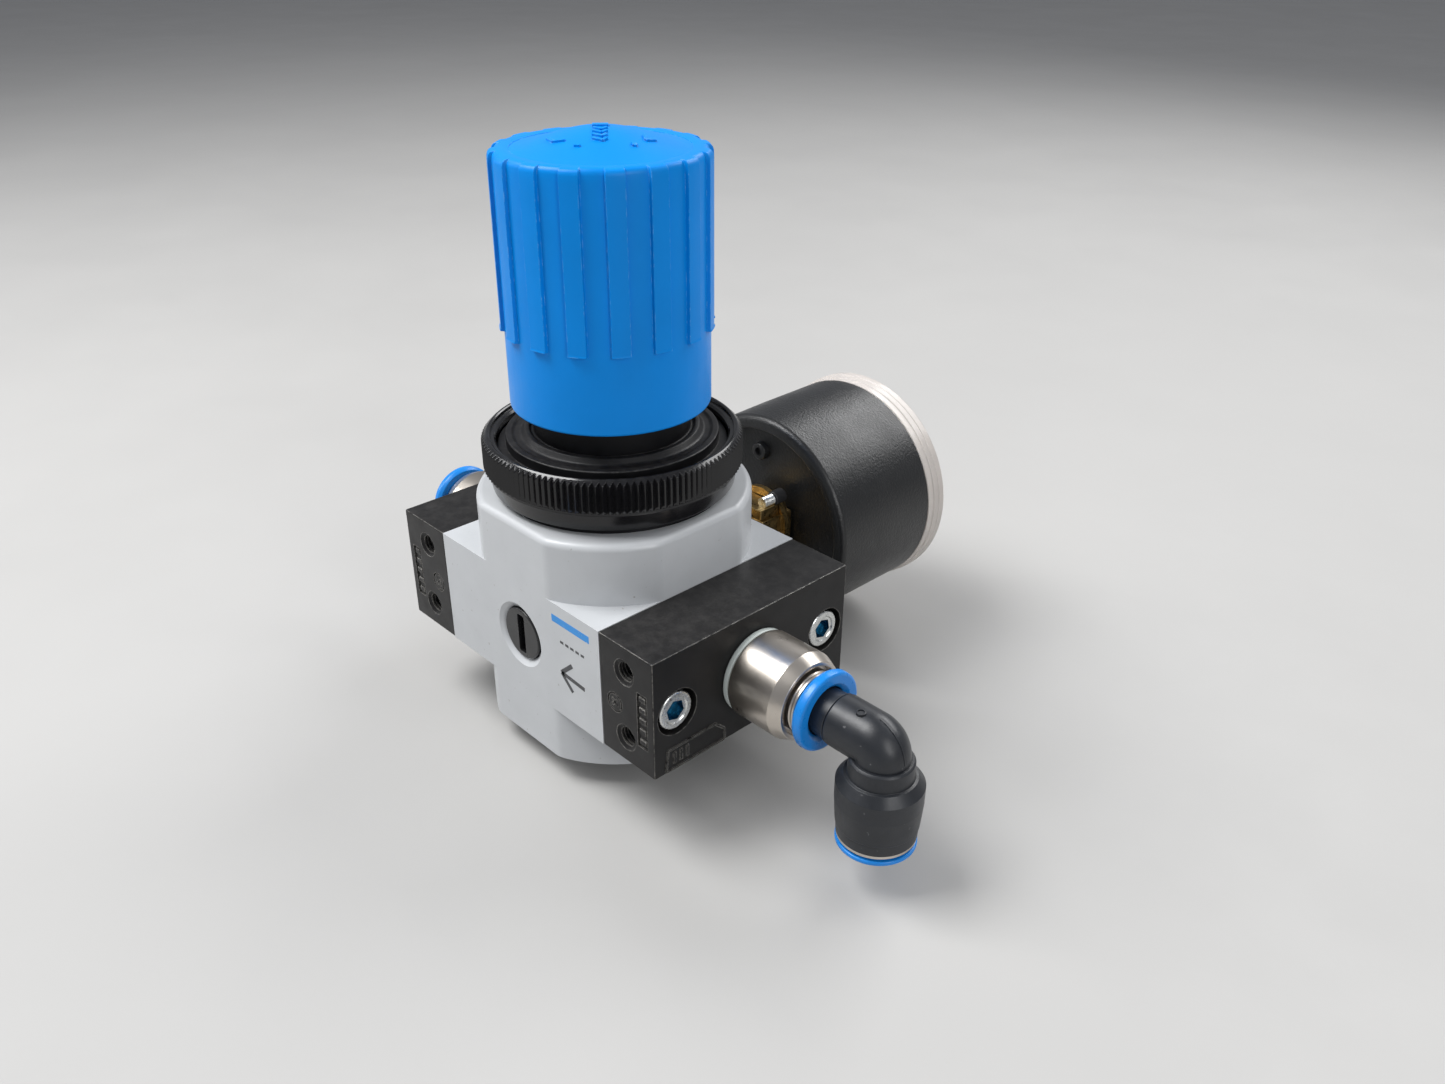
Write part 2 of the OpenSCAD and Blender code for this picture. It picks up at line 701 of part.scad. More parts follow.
// Brass socket of the gauge: thread, square, flange and the block that feeds the tube
module gauge_socket() {
    color([0.65, 0.5, 0.22]) difference() {
        union() {
            along_y(thread_start_y) cylinder(r = gauge_thread_r, h = case_y0 - 7 - thread_start_y);
            translate([-socket_af / 2, case_y0 - 8.5, axis_z - socket_af / 2])
                cube([socket_af, 7, socket_af]);
            along_y(case_y0 - 2, 0, gauge_z) cylinder(r = 9, h = 2);
            along_y(case_y0 - 1, 0, gauge_z) cylinder(r = 6, h = case_t + 3);
            translate([-4, case_y0 + case_t + 1, gauge_z - 21.5]) cube([8, 5, 25]);
            translate([-3, case_y0 + case_t + 1, gauge_z - 21.5]) cube([6, 12, 3]);
        }
        along_y(18) cylinder(r = 1.5, h = case_y0 - 15);
    }
}

// Gauge case: a cup with its mouth towards +Y
module gauge_case() {
    depth = case_y1 - case_y0;
    color([0.09, 0.09, 0.095]) along_y(case_y0, 0, gauge_z) difference() {
        rotate_extrude() polygon([
            [0, 0], [case_r - 3, 0], [case_r - 0.9, 0.9], [case_r, 3],
            [case_r, depth], [case_r - case_t, depth], [case_r - case_t, case_t], [0, case_t]]);
        translate([0, 0, -over]) cylinder(r = 6 + fit_gap, h = case_t + 2 * over);
        for (x = [-1, 1]) translate([x * case_screw_off, case_screw_off, -over])
            cylinder(r = 1 + fit_gap, h = case_t + 2 * over);
    }
}

// Clear snap-on window
module gauge_window() {
    lip = 3;
    color([0.85, 0.9, 0.9, 0.4]) along_y(case_y1, 0, gauge_z) difference() {
        union() {
            chamfered(window_r, window_y1 - case_y1, 1.2);
            translate([0, 0, -lip]) cylinder(r = case_r - case_t - fit_gap, h = lip + over);
        }
        translate([0, 0, -lip - over])
            cylinder(r = case_r - 2 * case_t, h = lip + window_y1 - case_y1 - pane_t + over);
    }
}

module gauge_dial() {
    color([0.93, 0.93, 0.92]) along_y(dial_y, 0, gauge_z) tube(dial_r, arbor_r + 0.3, 0.5);
}

// C-shaped pressure tube, a flat oval in section
module bourdon_tube() {
    color([0.7, 0.55, 0.25]) along_y(bourdon_y, 0, gauge_z) rotate([0, 0, 90])
        rotate_extrude(angle = 250) translate([bourdon_r, 0]) square([1.6, 5], center = true);
}

// Two plates and two posts that carry the gauge's gears
module movement_frame() {
    plate_l = 22;
    back_y = gear_y - 2.5;
    front_y = gear_y + gear_t + 1;
    color([0.7, 0.55, 0.25]) difference() {
        union() {
            for (y = [back_y, front_y])
                translate([-5, y, gauge_z - plate_l + 4]) cube([10, 1, plate_l]);
            for (x = [-3.8, 3.8])
                along_y(back_y + 0.5, x, gauge_z + 2.8) cylinder(r = 0.9, h = front_y - back_y, $fn = 48);
            translate([-3, bourdon_y + 3, gauge_z - 18.5]) cube([6, back_y - bourdon_y - 2.5, 2.5]);
        }
        along_y(back_y - over, 0, gauge_z) cylinder(r = arbor_r + fit_gap, h = 12);
        along_y(back_y - over, 0, sector_z) cylinder(r = arbor_r + fit_gap, h = 12);
    }
}

// Screws that hold the gauge case to the socket's flange
module gauge_case_screws() {
    color([0.75, 0.75, 0.75]) for (x = [-1, 1])
        along_y(case_y0 + case_t, x * case_screw_off, gauge_z - case_screw_off) union() {
            cylinder(r = 1.8, h = 1);
            translate([0, 0, -case_t]) cylinder(r = 1, h = case_t + over);
        }
}

// Pointer at zero, on its arbor
module gauge_pointer() {
    color([0.05, 0.05, 0.05]) union() {
        along_y(dial_y + 1.2, 0, gauge_z) cylinder(r = 2.4, h = 1.2);
        along_y(dial_y + 1.4, 0, gauge_z) rotate([0, 0, 45]) linear_extrude(0.5)
            polygon([[-6, -1.1], [17, -0.35], [19.5, 0], [17, 0.35], [-6, 1.1]]);
    }
}

module pointer_pinion() {
    color([0.7, 0.55, 0.25]) union() {
        along_y(gear_y - 2.5, 0, gauge_z) cylinder(r = arbor_r, h = dial_y + 1.2 - gear_y + 2.5);
        along_y(gear_y, 0, gauge_z) cylinder(r = pinion_r, h = gear_t);
    }
}

// Sector that turns the pinion
module sector_gear() {
    color([0.7, 0.55, 0.25]) union() {
        along_y(gear_y, 0, sector_z) intersection() {
            cylinder(r = sector_r, h = gear_t);
            linear_extrude(gear_t) polygon([[-2, 2], [2, 2], [2.5, -15], [-11.5, -15]]);
        }
        along_y(gear_y, 0, sector_z) cylinder(r = 2.4, h = gear_t);
        along_y(gear_y - 2.5, 0, sector_z) cylinder(r = arbor_r, h = gear_t + 4.5);
    }
}

main_body();
right_port_plate();
left_port_plate();
port_plate_screws();
port_plate_seals();
front_port_plug();
front_plug_seal();
bottom_cap();
bottom_cap_seal();
bonnet();
thrust_washer();
valve_seat();
diaphragm();
valve_spring();
main_spring();
right_fitting_body();
left_fitting_body();
fitting_washers();
tube_grab_rings();
tube_seals();
gauge_socket();
gauge_case();
gauge_window();
gauge_dial();
bourdon_tube();
movement_frame();
gauge_case_screws();
panel_ring_nut();
adjusting_spindle();
adjusting_knob();
knob_cap();
spring_nut();
spring_plate();
lower_plate();
valve_plunger();
valve_disc();
elbow_body();
elbow_end_ring();
elbow_grab_ring();
elbow_tube_seal();
left_release_ring();
right_release_ring();
elbow_release_ring();
gauge_pointer();
pointer_pinion();
sector_gear();
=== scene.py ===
"""Looks of the air pressure regulator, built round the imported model.
Lengths are millimetres until a mesh is made."""
import json
import math

import bmesh
import bpy
from mathutils import Matrix, Vector


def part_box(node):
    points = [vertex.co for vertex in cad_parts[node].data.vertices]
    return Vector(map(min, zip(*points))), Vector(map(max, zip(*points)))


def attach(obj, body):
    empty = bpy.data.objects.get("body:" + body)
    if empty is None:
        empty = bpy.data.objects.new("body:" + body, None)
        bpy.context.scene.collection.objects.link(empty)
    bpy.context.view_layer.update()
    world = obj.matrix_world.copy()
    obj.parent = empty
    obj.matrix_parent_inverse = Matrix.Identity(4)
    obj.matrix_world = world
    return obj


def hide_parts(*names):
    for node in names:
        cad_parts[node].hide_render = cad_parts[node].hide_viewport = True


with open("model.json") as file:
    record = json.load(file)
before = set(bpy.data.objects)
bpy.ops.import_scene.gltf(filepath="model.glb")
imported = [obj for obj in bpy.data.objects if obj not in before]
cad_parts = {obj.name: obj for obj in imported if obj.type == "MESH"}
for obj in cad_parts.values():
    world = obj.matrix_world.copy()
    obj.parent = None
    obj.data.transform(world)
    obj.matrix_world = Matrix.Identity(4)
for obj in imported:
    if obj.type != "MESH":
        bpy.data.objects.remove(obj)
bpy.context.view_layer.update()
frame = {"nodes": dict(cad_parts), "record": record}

MM = 0.001
TAU = 2 * math.pi


def span(node):
    """Lowest and highest corner of a CAD node, in millimetres."""
    low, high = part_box(node)
    return low / MM, high / MM


# ---------------------------------------------------------------- sizes, from the frame
BODY_LOW, BODY_HIGH = span("main_body")
PLATE_LOW, PLATE_HIGH = span("right_port_plate")
NUT_LOW, NUT_HIGH = span("panel_ring_nut")
KNOB_LOW, KNOB_HIGH = span("adjusting_knob")
KNOB_CAP_HIGH = span("knob_cap")[1]
BONNET_HIGH = span("bonnet")[1]
CAP_HIGH = span("bottom_cap")[1]
FITTING_HIGH = span("right_fitting_body")[1]
RELEASE_HIGH = span("right_release_ring")[1]
ELBOW_LOW = span("elbow_body")[0]
ELBOW_RING_LOW = span("elbow_release_ring")[0]
END_RING_LOW, END_RING_HIGH = span("elbow_end_ring")
CASE_LOW, CASE_HIGH = span("gauge_case")
WINDOW_HIGH = span("gauge_window")[1]
DIAL_HIGH = span("gauge_dial")[1]
SCREW_HIGH = span("port_plate_screws")[1]

HALF_W = BODY_HIGH.y
FRONT_Y = -HALF_W
BLOCK_Z0 = PLATE_LOW.z
BLOCK_Z1 = PLATE_HIGH.z
AXIS_Z = (BLOCK_Z0 + BLOCK_Z1) / 2
TOWER_Z = BODY_HIGH.z
PLATE_X0 = PLATE_LOW.x
PLATE_X1 = PLATE_HIGH.x
NUT_R = NUT_HIGH.x
GAUGE_Z = (CASE_LOW.z + CASE_HIGH.z) / 2
ELBOW_X = (END_RING_LOW.x + END_RING_HIGH.x) / 2


# ---------------------------------------------------------------- outlines and solids
def arc(centre, radius, start, end, steps):
    """Points on an arc, both ends included; angles in radians."""
    return [(centre[0] + radius * math.cos(start + (end - start) * i / steps),
             centre[1] + radius * math.sin(start + (end - start) * i / steps)) for i in range(steps + 1)]


def rounded(corners, step=math.radians(15)):
    """Closed outline whose corners are rounded; each corner is (x, y) or (x, y, radius)."""
    outline = []
    count = len(corners)
    for i, corner in enumerate(corners):
        here = Vector(corner[:2])
        radius = corner[2] if len(corner) > 2 else 0
        back = Vector(corners[i - 1][:2]) - here
        ahead = Vector(corners[(i + 1) % count][:2]) - here
        opening = back.angle(ahead)
        if not radius or abs(math.pi - opening) < 1e-3:
            outline.append(tuple(here))
            continue
        reach = min(radius / math.tan(opening / 2), 0.49 * back.length, 0.49 * ahead.length)
        radius = reach * math.tan(opening / 2)
        centre = here + (back.normalized() + ahead.normalized()).normalized() * radius / math.sin(opening / 2)
        first = here + back.normalized() * reach - centre
        last = here + ahead.normalized() * reach - centre
        turn = first.angle_signed(last)
        steps = max(2, math.ceil(abs(turn) / step))
        start = math.atan2(first.y, first.x)
        outline += arc(centre, radius, start, start - turn, steps)
    return outline


def grid(rings, closed_ends=True):
    """Tube of quads through rings of points; the first and last ring are capped."""
    bm = bmesh.new()
    rows = [[bm.verts.new(p) for p in ring] for ring in rings]
    count = len(rows[0])
    for a, b in zip(rows, rows[1:]):
        for j in range(count):
            k = (j + 1) % count
            bm.faces.new((a[j], a[k], b[k], b[j]))
    if closed_ends:
        bm.faces.new(rows[0][::-1])
        bm.faces.new(rows[-1])
    else:
        for j in range(count):
            k = (j + 1) % count
            bm.faces.new((rows[-1][j], rows[-1][k], rows[0][k], rows[0][j]))
    return bm


def lathe(profile, steps=144, radius_at=None):
    """Solid of revolution about Z of a closed profile of (radius, height) points.
    radius_at(radius, height, angle) may change the radius round the turn."""
    bm = bmesh.new()
    columns = []
    for i in range(steps):
        angle = TAU * i / steps
        column = []
        for r, h in profile:
            if radius_at:
                r = radius_at(r, h, angle)
            column.append(bm.verts.new((r * math.cos(angle), r * math.sin(angle), h)))
        columns.append(column)
    count = len(profile)
    for i in range(steps):
        a, b = columns[i], columns[(i + 1) % steps]
        for j in range(count):
            k = (j + 1) % count
            if profile[j][0] < 1e-6 and profile[k][0] < 1e-6:
                continue
            bm.faces.new((a[j], b[j], b[k], a[k]))
    bmesh.ops.remove_doubles(bm, verts=bm.verts, dist=1e-5)
    return bm


def prism(outline, low, high):
    """Upright solid over a closed outline."""
    return grid([[(x, y, low) for x, y in outline], [(x, y, high) for x, y in outline]])


def block(low, high):
    """Box between two corners."""
    outline = [(low[0], low[1]), (high[0], low[1]), (high[0], high[1]), (low[0], high[1])]
    return prism(outline, low[2], high[2])


def turned(bm, axis="z", at=(0, 0, 0)):
    """Turns a solid's +Z to the named axis and moves it; returns the same solid."""
    turns = {"z": Matrix.Identity(4), "x": Matrix.Rotation(math.pi / 2, 4, "Y"),
             "-x": Matrix.Rotation(-math.pi / 2, 4, "Y"), "y": Matrix.Rotation(-math.pi / 2, 4, "X"),
             "-y": Matrix.Rotation(math.pi / 2, 4, "X"), "-z": Matrix.Rotation(math.pi, 4, "X")}
    bm.transform(Matrix.Translation(at) @ turns[axis])
    return bm


def mirrored(bm):
    """The solid on the other side of the YZ plane."""
    bm.transform(Matrix.Diagonal((-1, 1, 1, 1)))
    bmesh.ops.reverse_faces(bm, faces=bm.faces)
    return bm


def joined(*solids):
    """One bmesh that holds several separate solids."""
    whole = solids[0]
    for solid in solids[1:]:
        mesh = bpy.data.meshes.new("joined")
        solid.to_mesh(mesh)
        whole.from_mesh(mesh)
        bpy.data.meshes.remove(mesh)
        solid.free()
    return whole


def combined(base, tool, operation="DIFFERENCE"):
    """Boolean of two solids as a new solid."""
    made = []
    for name, bm in (("base", base), ("tool", tool)):
        bmesh.ops.recalc_face_normals(bm, faces=bm.faces)
        mesh = bpy.data.meshes.new(name)
        bm.to_mesh(mesh)
        bm.free()
        made.append(bpy.data.objects.new(name, mesh))
        bpy.context.scene.collection.objects.link(made[-1])
    cut = made[0].modifiers.new("cut", "BOOLEAN")
    cut.object = made[1]
    cut.operation = operation
    cut.solver = "EXACT"
    result = bmesh.new()
    result.from_object(made[0], bpy.context.evaluated_depsgraph_get())
    for o in made:
        bpy.data.objects.remove(o, do_unlink=True)
    return result


def bevelled(bm, width, smallest=math.radians(28), where=None, segments=3):
    """Rounds the edges that turn by more than an angle, or those that where(edge) picks."""
    bmesh.ops.dissolve_limit(bm, angle_limit=math.radians(0.5), verts=bm.verts, edges=bm.edges)
    edges = [e for e in bm.edges if len(e.link_faces) == 2 and e.calc_face_angle(0) > smallest
             and (where is None or where(e))]
    bmesh.ops.bevel(bm, geom=edges, offset=width, segments=segments, profile=0.5, affect="EDGES",
                    clamp_overlap=True)
    return bm


def strip(points, width, height):
    """Flat stroke along points in XY with square ends, from z = 0 to height."""
    solids = []
    for (x0, y0), (x1, y1) in zip(points, points[1:]):
        along = Vector((x1 - x0, y1 - y0))
        side = Vector((-along.y, along.x)).normalized() * width / 2
        outline = [(x0 - side.x, y0 - side.y), (x1 - side.x, y1 - side.y),
                   (x1 + side.x, y1 + side.y), (x0 + side.x, y0 + side.y)]
        solids.append(prism(outline, 0, height))
    return joined(*solids)


# ---------------------------------------------------------------- materials
def finish(name, color, roughness, metallic=0.0, tone=0.08, tone_mm=9.0, rough_vary=0.08,
           grain_mm=0.5, grain=0.05, streaks=None, edge_wear_and_highlight=None, dust=None, spots=None, coat=0.0,
           specular=0.5, transmission=0.0, ior=1.5):
    """Procedural surface. tone varies the colour over tone_mm; grain is the bump's height in millimetres.
    streaks = (axis, strength): turning marks square to an axis.
    edge_wear_and_highlight = (colour, metallic, width in mm, share): rubbed edges, partly a painted edge
    highlight.
    dust = (colour, share): settles on what faces up. spots = (colour, size in mm, share)."""
    mat = bpy.data.materials.new(name)
    mat.use_nodes = True
    tree = mat.node_tree
    tree.nodes.clear()

    def add(kind, **inputs):
        made = tree.nodes.new(kind)
        for key, value in inputs.items():
            made.inputs[key.replace("_", " ")].default_value = value
        return made

    def wire(source, output, target, field):
        tree.links.new(source.outputs[output], target.inputs[field])

    def noise(size_mm, detail=3.0, rough=0.55, stretch=None):
        scale = tree.nodes.new("ShaderNodeMapping")
        factor = 1 / (size_mm * MM)
        scale.inputs["Scale"].default_value = [factor * s for s in (stretch or (1, 1, 1))]
        wire(place, "Object", scale, "Vector")
        made = add("ShaderNodeTexNoise", Scale=1.0, Detail=detail, Roughness=rough)
        wire(scale, "Vector", made, "Vector")
        return made

    def spread(source, output, low, high, new_low, new_high):
        made = tree.nodes.new("ShaderNodeMapRange")
        made.inputs["From Min"].default_value = low
        made.inputs["From Max"].default_value = high
        made.inputs["To Min"].default_value = new_low
        made.inputs["To Max"].default_value = new_high
        wire(source, output, made, "Value")
        return made

    def blend(factor, first, second, kind="MIX"):
        made = tree.nodes.new("ShaderNodeMix")
        made.data_type = "RGBA"
        made.blend_type = kind
        made.inputs[6].default_value = (*first, 1) if isinstance(first, tuple) else (0, 0, 0, 1)
        made.inputs[7].default_value = (*second, 1)
        if not isinstance(first, tuple):
            tree.links.new(first, made.inputs[6])
        wire(factor, 0, made, 0)
        return made

    def multiply(first, second):
        made = tree.nodes.new("ShaderNodeMath")
        made.operation = "MULTIPLY"
        tree.links.new(first.outputs[0], made.inputs[0])
        tree.links.new(second.outputs[0], made.inputs[1])
        return made

    place = tree.nodes.new("ShaderNodeTexCoord")
    surface = add("ShaderNodeBsdfPrincipled", Metallic=metallic, IOR=ior)
    surface.inputs["Specular IOR Level"].default_value = specular
    surface.inputs["Transmission Weight"].default_value = transmission
    surface.inputs["Coat Weight"].default_value = coat
    surface.inputs["Coat Roughness"].default_value = 0.12
    out = tree.nodes.new("ShaderNodeOutputMaterial")
    wire(surface, "BSDF", out, "Surface")

    darker = tuple(c * (1 - tone) for c in color)
    lighter = tuple(min(1, c * (1 + tone)) for c in color)
    patches = spread(noise(tone_mm, 4), 0, 0.3, 0.7, 0, 1)
    shade = blend(patches, darker, lighter)
    smears = noise(tone_mm * 0.6, 5, 0.65)
    rough = spread(smears, 0, 0.3, 0.7, max(0.02, roughness - rough_vary), min(1, roughness + rough_vary))

    if spots:
        fleck = spread(noise(spots[1], 2, 0.5), 0, 1 - spots[2] - 0.03, 1 - spots[2] + 0.03, 0, 1)
        shade = blend(fleck, shade.outputs[2], spots[0])
    if dust:
        facing = tree.nodes.new("ShaderNodeNewGeometry")
        split = tree.nodes.new("ShaderNodeSeparateXYZ")
        wire(facing, "Normal", split, "Vector")
        upward = spread(split, "Z", 0.35, 1.0, 0, 1)
        lint = spread(noise(2.6, 6, 0.75), 0, 0.42, 0.75, 0, dust[1])
        veil = multiply(upward, lint)
        shade = blend(veil, shade.outputs[2], dust[0])
    # Lighter edge band on the edges the Bevel node finds: partly rubbed wear, partly a painted edge
    # highlight.
    if edge_wear_and_highlight:
        soft = add("ShaderNodeBevel", Radius=edge_wear_and_highlight[2] * MM)
        soft.samples = 4
        plain = tree.nodes.new("ShaderNodeNewGeometry")
        turn = tree.nodes.new("ShaderNodeVectorMath")
        turn.operation = "DOT_PRODUCT"
        wire(soft, "Normal", turn, 0)
        wire(plain, "Normal", turn, 1)
        edge = spread(turn, "Value", 0.995, 0.93, 0, 1)
        rub_and_glint_patches = spread(noise(1.6, 5, 0.7), 0, 0.62 - edge_wear_and_highlight[3] * 0.4, 0.8 - edge_wear_and_highlight[3] * 0.4, 0, 1)
        worn_and_lit_edges = multiply(edge, rub_and_glint_patches)
        shade = blend(worn_and_lit_edges, shade.outputs[2], edge_wear_and_highlight[0])
        if edge_wear_and_highlight[1] != metallic:
            metal = spread(worn_and_lit_edges, 0, 0, 1, metallic, edge_wear_and_highlight[1])
            wire(metal, 0, surface, "Metallic")
    wire(shade, 2, surface, "Base Color")
    wire(rough, 0, surface, "Roughness")

    fine = noise(grain_mm, 3, 0.6)
    bump = add("ShaderNodeBump", Strength=1.0, Distance=grain * MM)
    wire(fine, 0, bump, "Height")
    if streaks:
        stretch = [0.02, 0.02, 0.02]
        stretch["xyz".index(streaks[0])] = 1
        rings = noise(0.09, 2, 0.5, stretch)
        lines = add("ShaderNodeBump", Strength=1.0, Distance=streaks[1] * MM)
        wire(rings, 0, lines, "Height")
        wire(bump, 0, lines, "Normal")
        bump = lines
    wire(bump, 0, surface, "Normal")
    return mat


MATERIALS = {
    "body_paint": finish("body_paint", (0.49, 0.505, 0.52), 0.36, tone=0.03, grain_mm=0.55, grain=0.012,
                         rough_vary=0.05, spots=((0.30, 0.29, 0.28), 0.9, 0.24)),
    # The plate coating's light metallic edge band is rubbed bare metal and a painted highlight along its
    # bevelled edges.
    "plate_coating": finish("plate_coating", (0.012, 0.0115, 0.0115), 0.38, tone=0.18, grain_mm=0.35,
                            grain=0.01, rough_vary=0.08, specular=0.22,
                            edge_wear_and_highlight=((0.30, 0.29, 0.27), 0.8, 0.30, 0.6), dust=((0.20, 0.19, 0.18), 0.10)),
    "zinc_steel": finish("zinc_steel", (0.66, 0.67, 0.66), 0.30, 1.0, tone=0.14, tone_mm=1.5, grain_mm=0.3,
                         grain=0.012, rough_vary=0.14),
    "zinc_socket": finish("zinc_socket", (0.10, 0.30, 0.42), 0.22, 1.0, tone=0.5, tone_mm=0.9, grain_mm=0.4,
                          grain=0.03),
    "seal_rubber": finish("seal_rubber", (0.015, 0.015, 0.015), 0.6, grain=0.01),
    "plug_black": finish("plug_black", (0.012, 0.012, 0.013), 0.30, tone=0.2, grain=0.012,
                         edge_wear_and_highlight=((0.10, 0.10, 0.10), 0.0, 0.2, 0.5)),
    "black_plastic": finish("black_plastic", (0.018, 0.018, 0.019), 0.5, tone=0.15, grain_mm=0.3,
                            grain=0.015),
    "bonnet_black": finish("bonnet_black", (0.006, 0.006, 0.007), 0.44, tone=0.2, tone_mm=5, grain_mm=0.3,
                           grain=0.01, rough_vary=0.08, dust=((0.16, 0.15, 0.14), 0.12), specular=0.25,
                           edge_wear_and_highlight=((0.12, 0.115, 0.11), 0.0, 0.3, 0.4)),
    "white_plastic": finish("white_plastic", (0.66, 0.72, 0.69), 0.45, tone=0.06, tone_mm=2, grain=0.01),
    "inner_brass": finish("inner_brass", (0.62, 0.44, 0.17), 0.3, 1.0, grain=0.008),
    "spring_steel": finish("spring_steel", (0.5, 0.5, 0.51), 0.3, 1.0, grain=0.006),
    "spring_aluminium": finish("spring_aluminium", (0.75, 0.75, 0.76), 0.35, 1.0, grain=0.006),
    "nickel_brass": finish("nickel_brass", (0.60, 0.55, 0.49), 0.30, 1.0, tone=0.03, tone_mm=6, grain_mm=0.8,
                           grain=0.0, rough_vary=0.03, streaks=("x", 0.002)),
    "gauge_brass": finish("gauge_brass", (0.40, 0.28, 0.12), 0.36, 1.0, tone=0.35, tone_mm=1.6, grain_mm=0.5,
                          grain=0.05, rough_vary=0.16),
    "gauge_case_black": finish("gauge_case_black", (0.011, 0.0115, 0.012), 0.34, tone=0.12, grain_mm=0.55,
                               grain=0.11, rough_vary=0.05, specular=0.5),
    "window_rim": finish("window_rim", (0.74, 0.69, 0.65), 0.20, tone=0.04, tone_mm=7, grain=0.003,
                         transmission=0.35, ior=1.3, rough_vary=0.04),
    "clear_window": finish("clear_window", (0.93, 0.93, 0.92), 0.07, tone=0.02, grain=0.002, rough_vary=0.04,
                           transmission=1.0, ior=1.49),
    "dial_white": finish("dial_white", (0.80, 0.80, 0.78), 0.45, tone=0.02, grain=0.003),
    "nut_black": finish("nut_black", (0.004, 0.004, 0.005), 0.18, tone=0.2, grain_mm=0.6, grain=0.004,
                        rough_vary=0.05, dust=((0.16, 0.16, 0.16), 0.12)),
    "knob_blue": finish("knob_blue", (0.0, 0.225, 0.69), 0.38, tone=0.04, tone_mm=14, grain_mm=0.7,
                        grain=0.012, rough_vary=0.06, specular=0.16,
                        edge_wear_and_highlight=((0.16, 0.42, 0.78), 0.0, 0.3, 0.3)),
    "elbow_black": finish("elbow_black", (0.013, 0.015, 0.019), 0.40, tone=0.14, tone_mm=6, grain_mm=0.35,
                          grain=0.012, rough_vary=0.08, spots=((0.10, 0.10, 0.105), 1.4, 0.26)),
    "release_blue": finish("release_blue", (0.008, 0.215, 0.66), 0.30, tone=0.06, tone_mm=5, grain=0.006,
                           specular=0.4),
    "pointer_black": finish("pointer_black", (0.008, 0.008, 0.008), 0.5, grain=0.002),
    "print_blue": finish("print_blue", (0.02, 0.24, 0.62), 0.4, grain=0.002,
                         spots=((0.4, 0.47, 0.6), 0.5, 0.3)),
    "print_dark": finish("print_dark", (0.045, 0.045, 0.05), 0.4, grain=0.002,
                         spots=((0.3, 0.3, 0.32), 0.5, 0.27)),
    "floor": finish("floor", (0.42, 0.415, 0.405), 0.6, tone=0.02, tone_mm=120, grain_mm=3, grain=0.02),
}


def piece(name, bm, body, slot, *nodes, sharp=38, material=None):
    """Makes a solid in millimetres into an object that rides on a body and stands for CAD nodes."""
    bmesh.ops.recalc_face_normals(bm, faces=bm.faces)
    bm.transform(Matrix.Scale(MM, 4))
    mesh = bpy.data.meshes.new(name)
    bm.to_mesh(mesh)
    bm.free()
    mesh.shade_smooth()
    mesh.set_sharp_from_angle(angle=math.radians(sharp))
    made = bpy.data.objects.new(name, mesh)
    bpy.context.scene.collection.objects.link(made)
    flat_faces = made.modifiers.new("flat_faces", "WEIGHTED_NORMAL")
    flat_faces.keep_sharp = True
    made.data.materials.append(MATERIALS[material or slot])
    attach(made, body)
    if nodes:
        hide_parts(*nodes)
    return made


# ---------------------------------------------------------------- knob
RIB_COUNT = 16
RIB_START_DEG = -9.8
RIB_HALF_DEG = 5.0
RIB_SIDE_DEG = 0.4
RIB_HEIGHT = 0.75
RIB_BOTTOM = KNOB_LOW.z + 16.2
# Share of the rib's height that each kind of row has
RISE = {"lip": 1.25, "rib": 1.0, "half": 0.5, "flat": 0.0}
KNOB_VALLEY_R = KNOB_HIGH.y - 0.75
KNOB_LEAN = 0.12
KNOB_WALL_SHARE = 0.86
# Direction of the dome's marks, in degrees about Z
DOME_FRONT_DEG = -40


def ease(t):
    """Smooth step from 0 to 1."""
    t = min(1, max(0, t))
    return t * t * (3 - 2 * t)


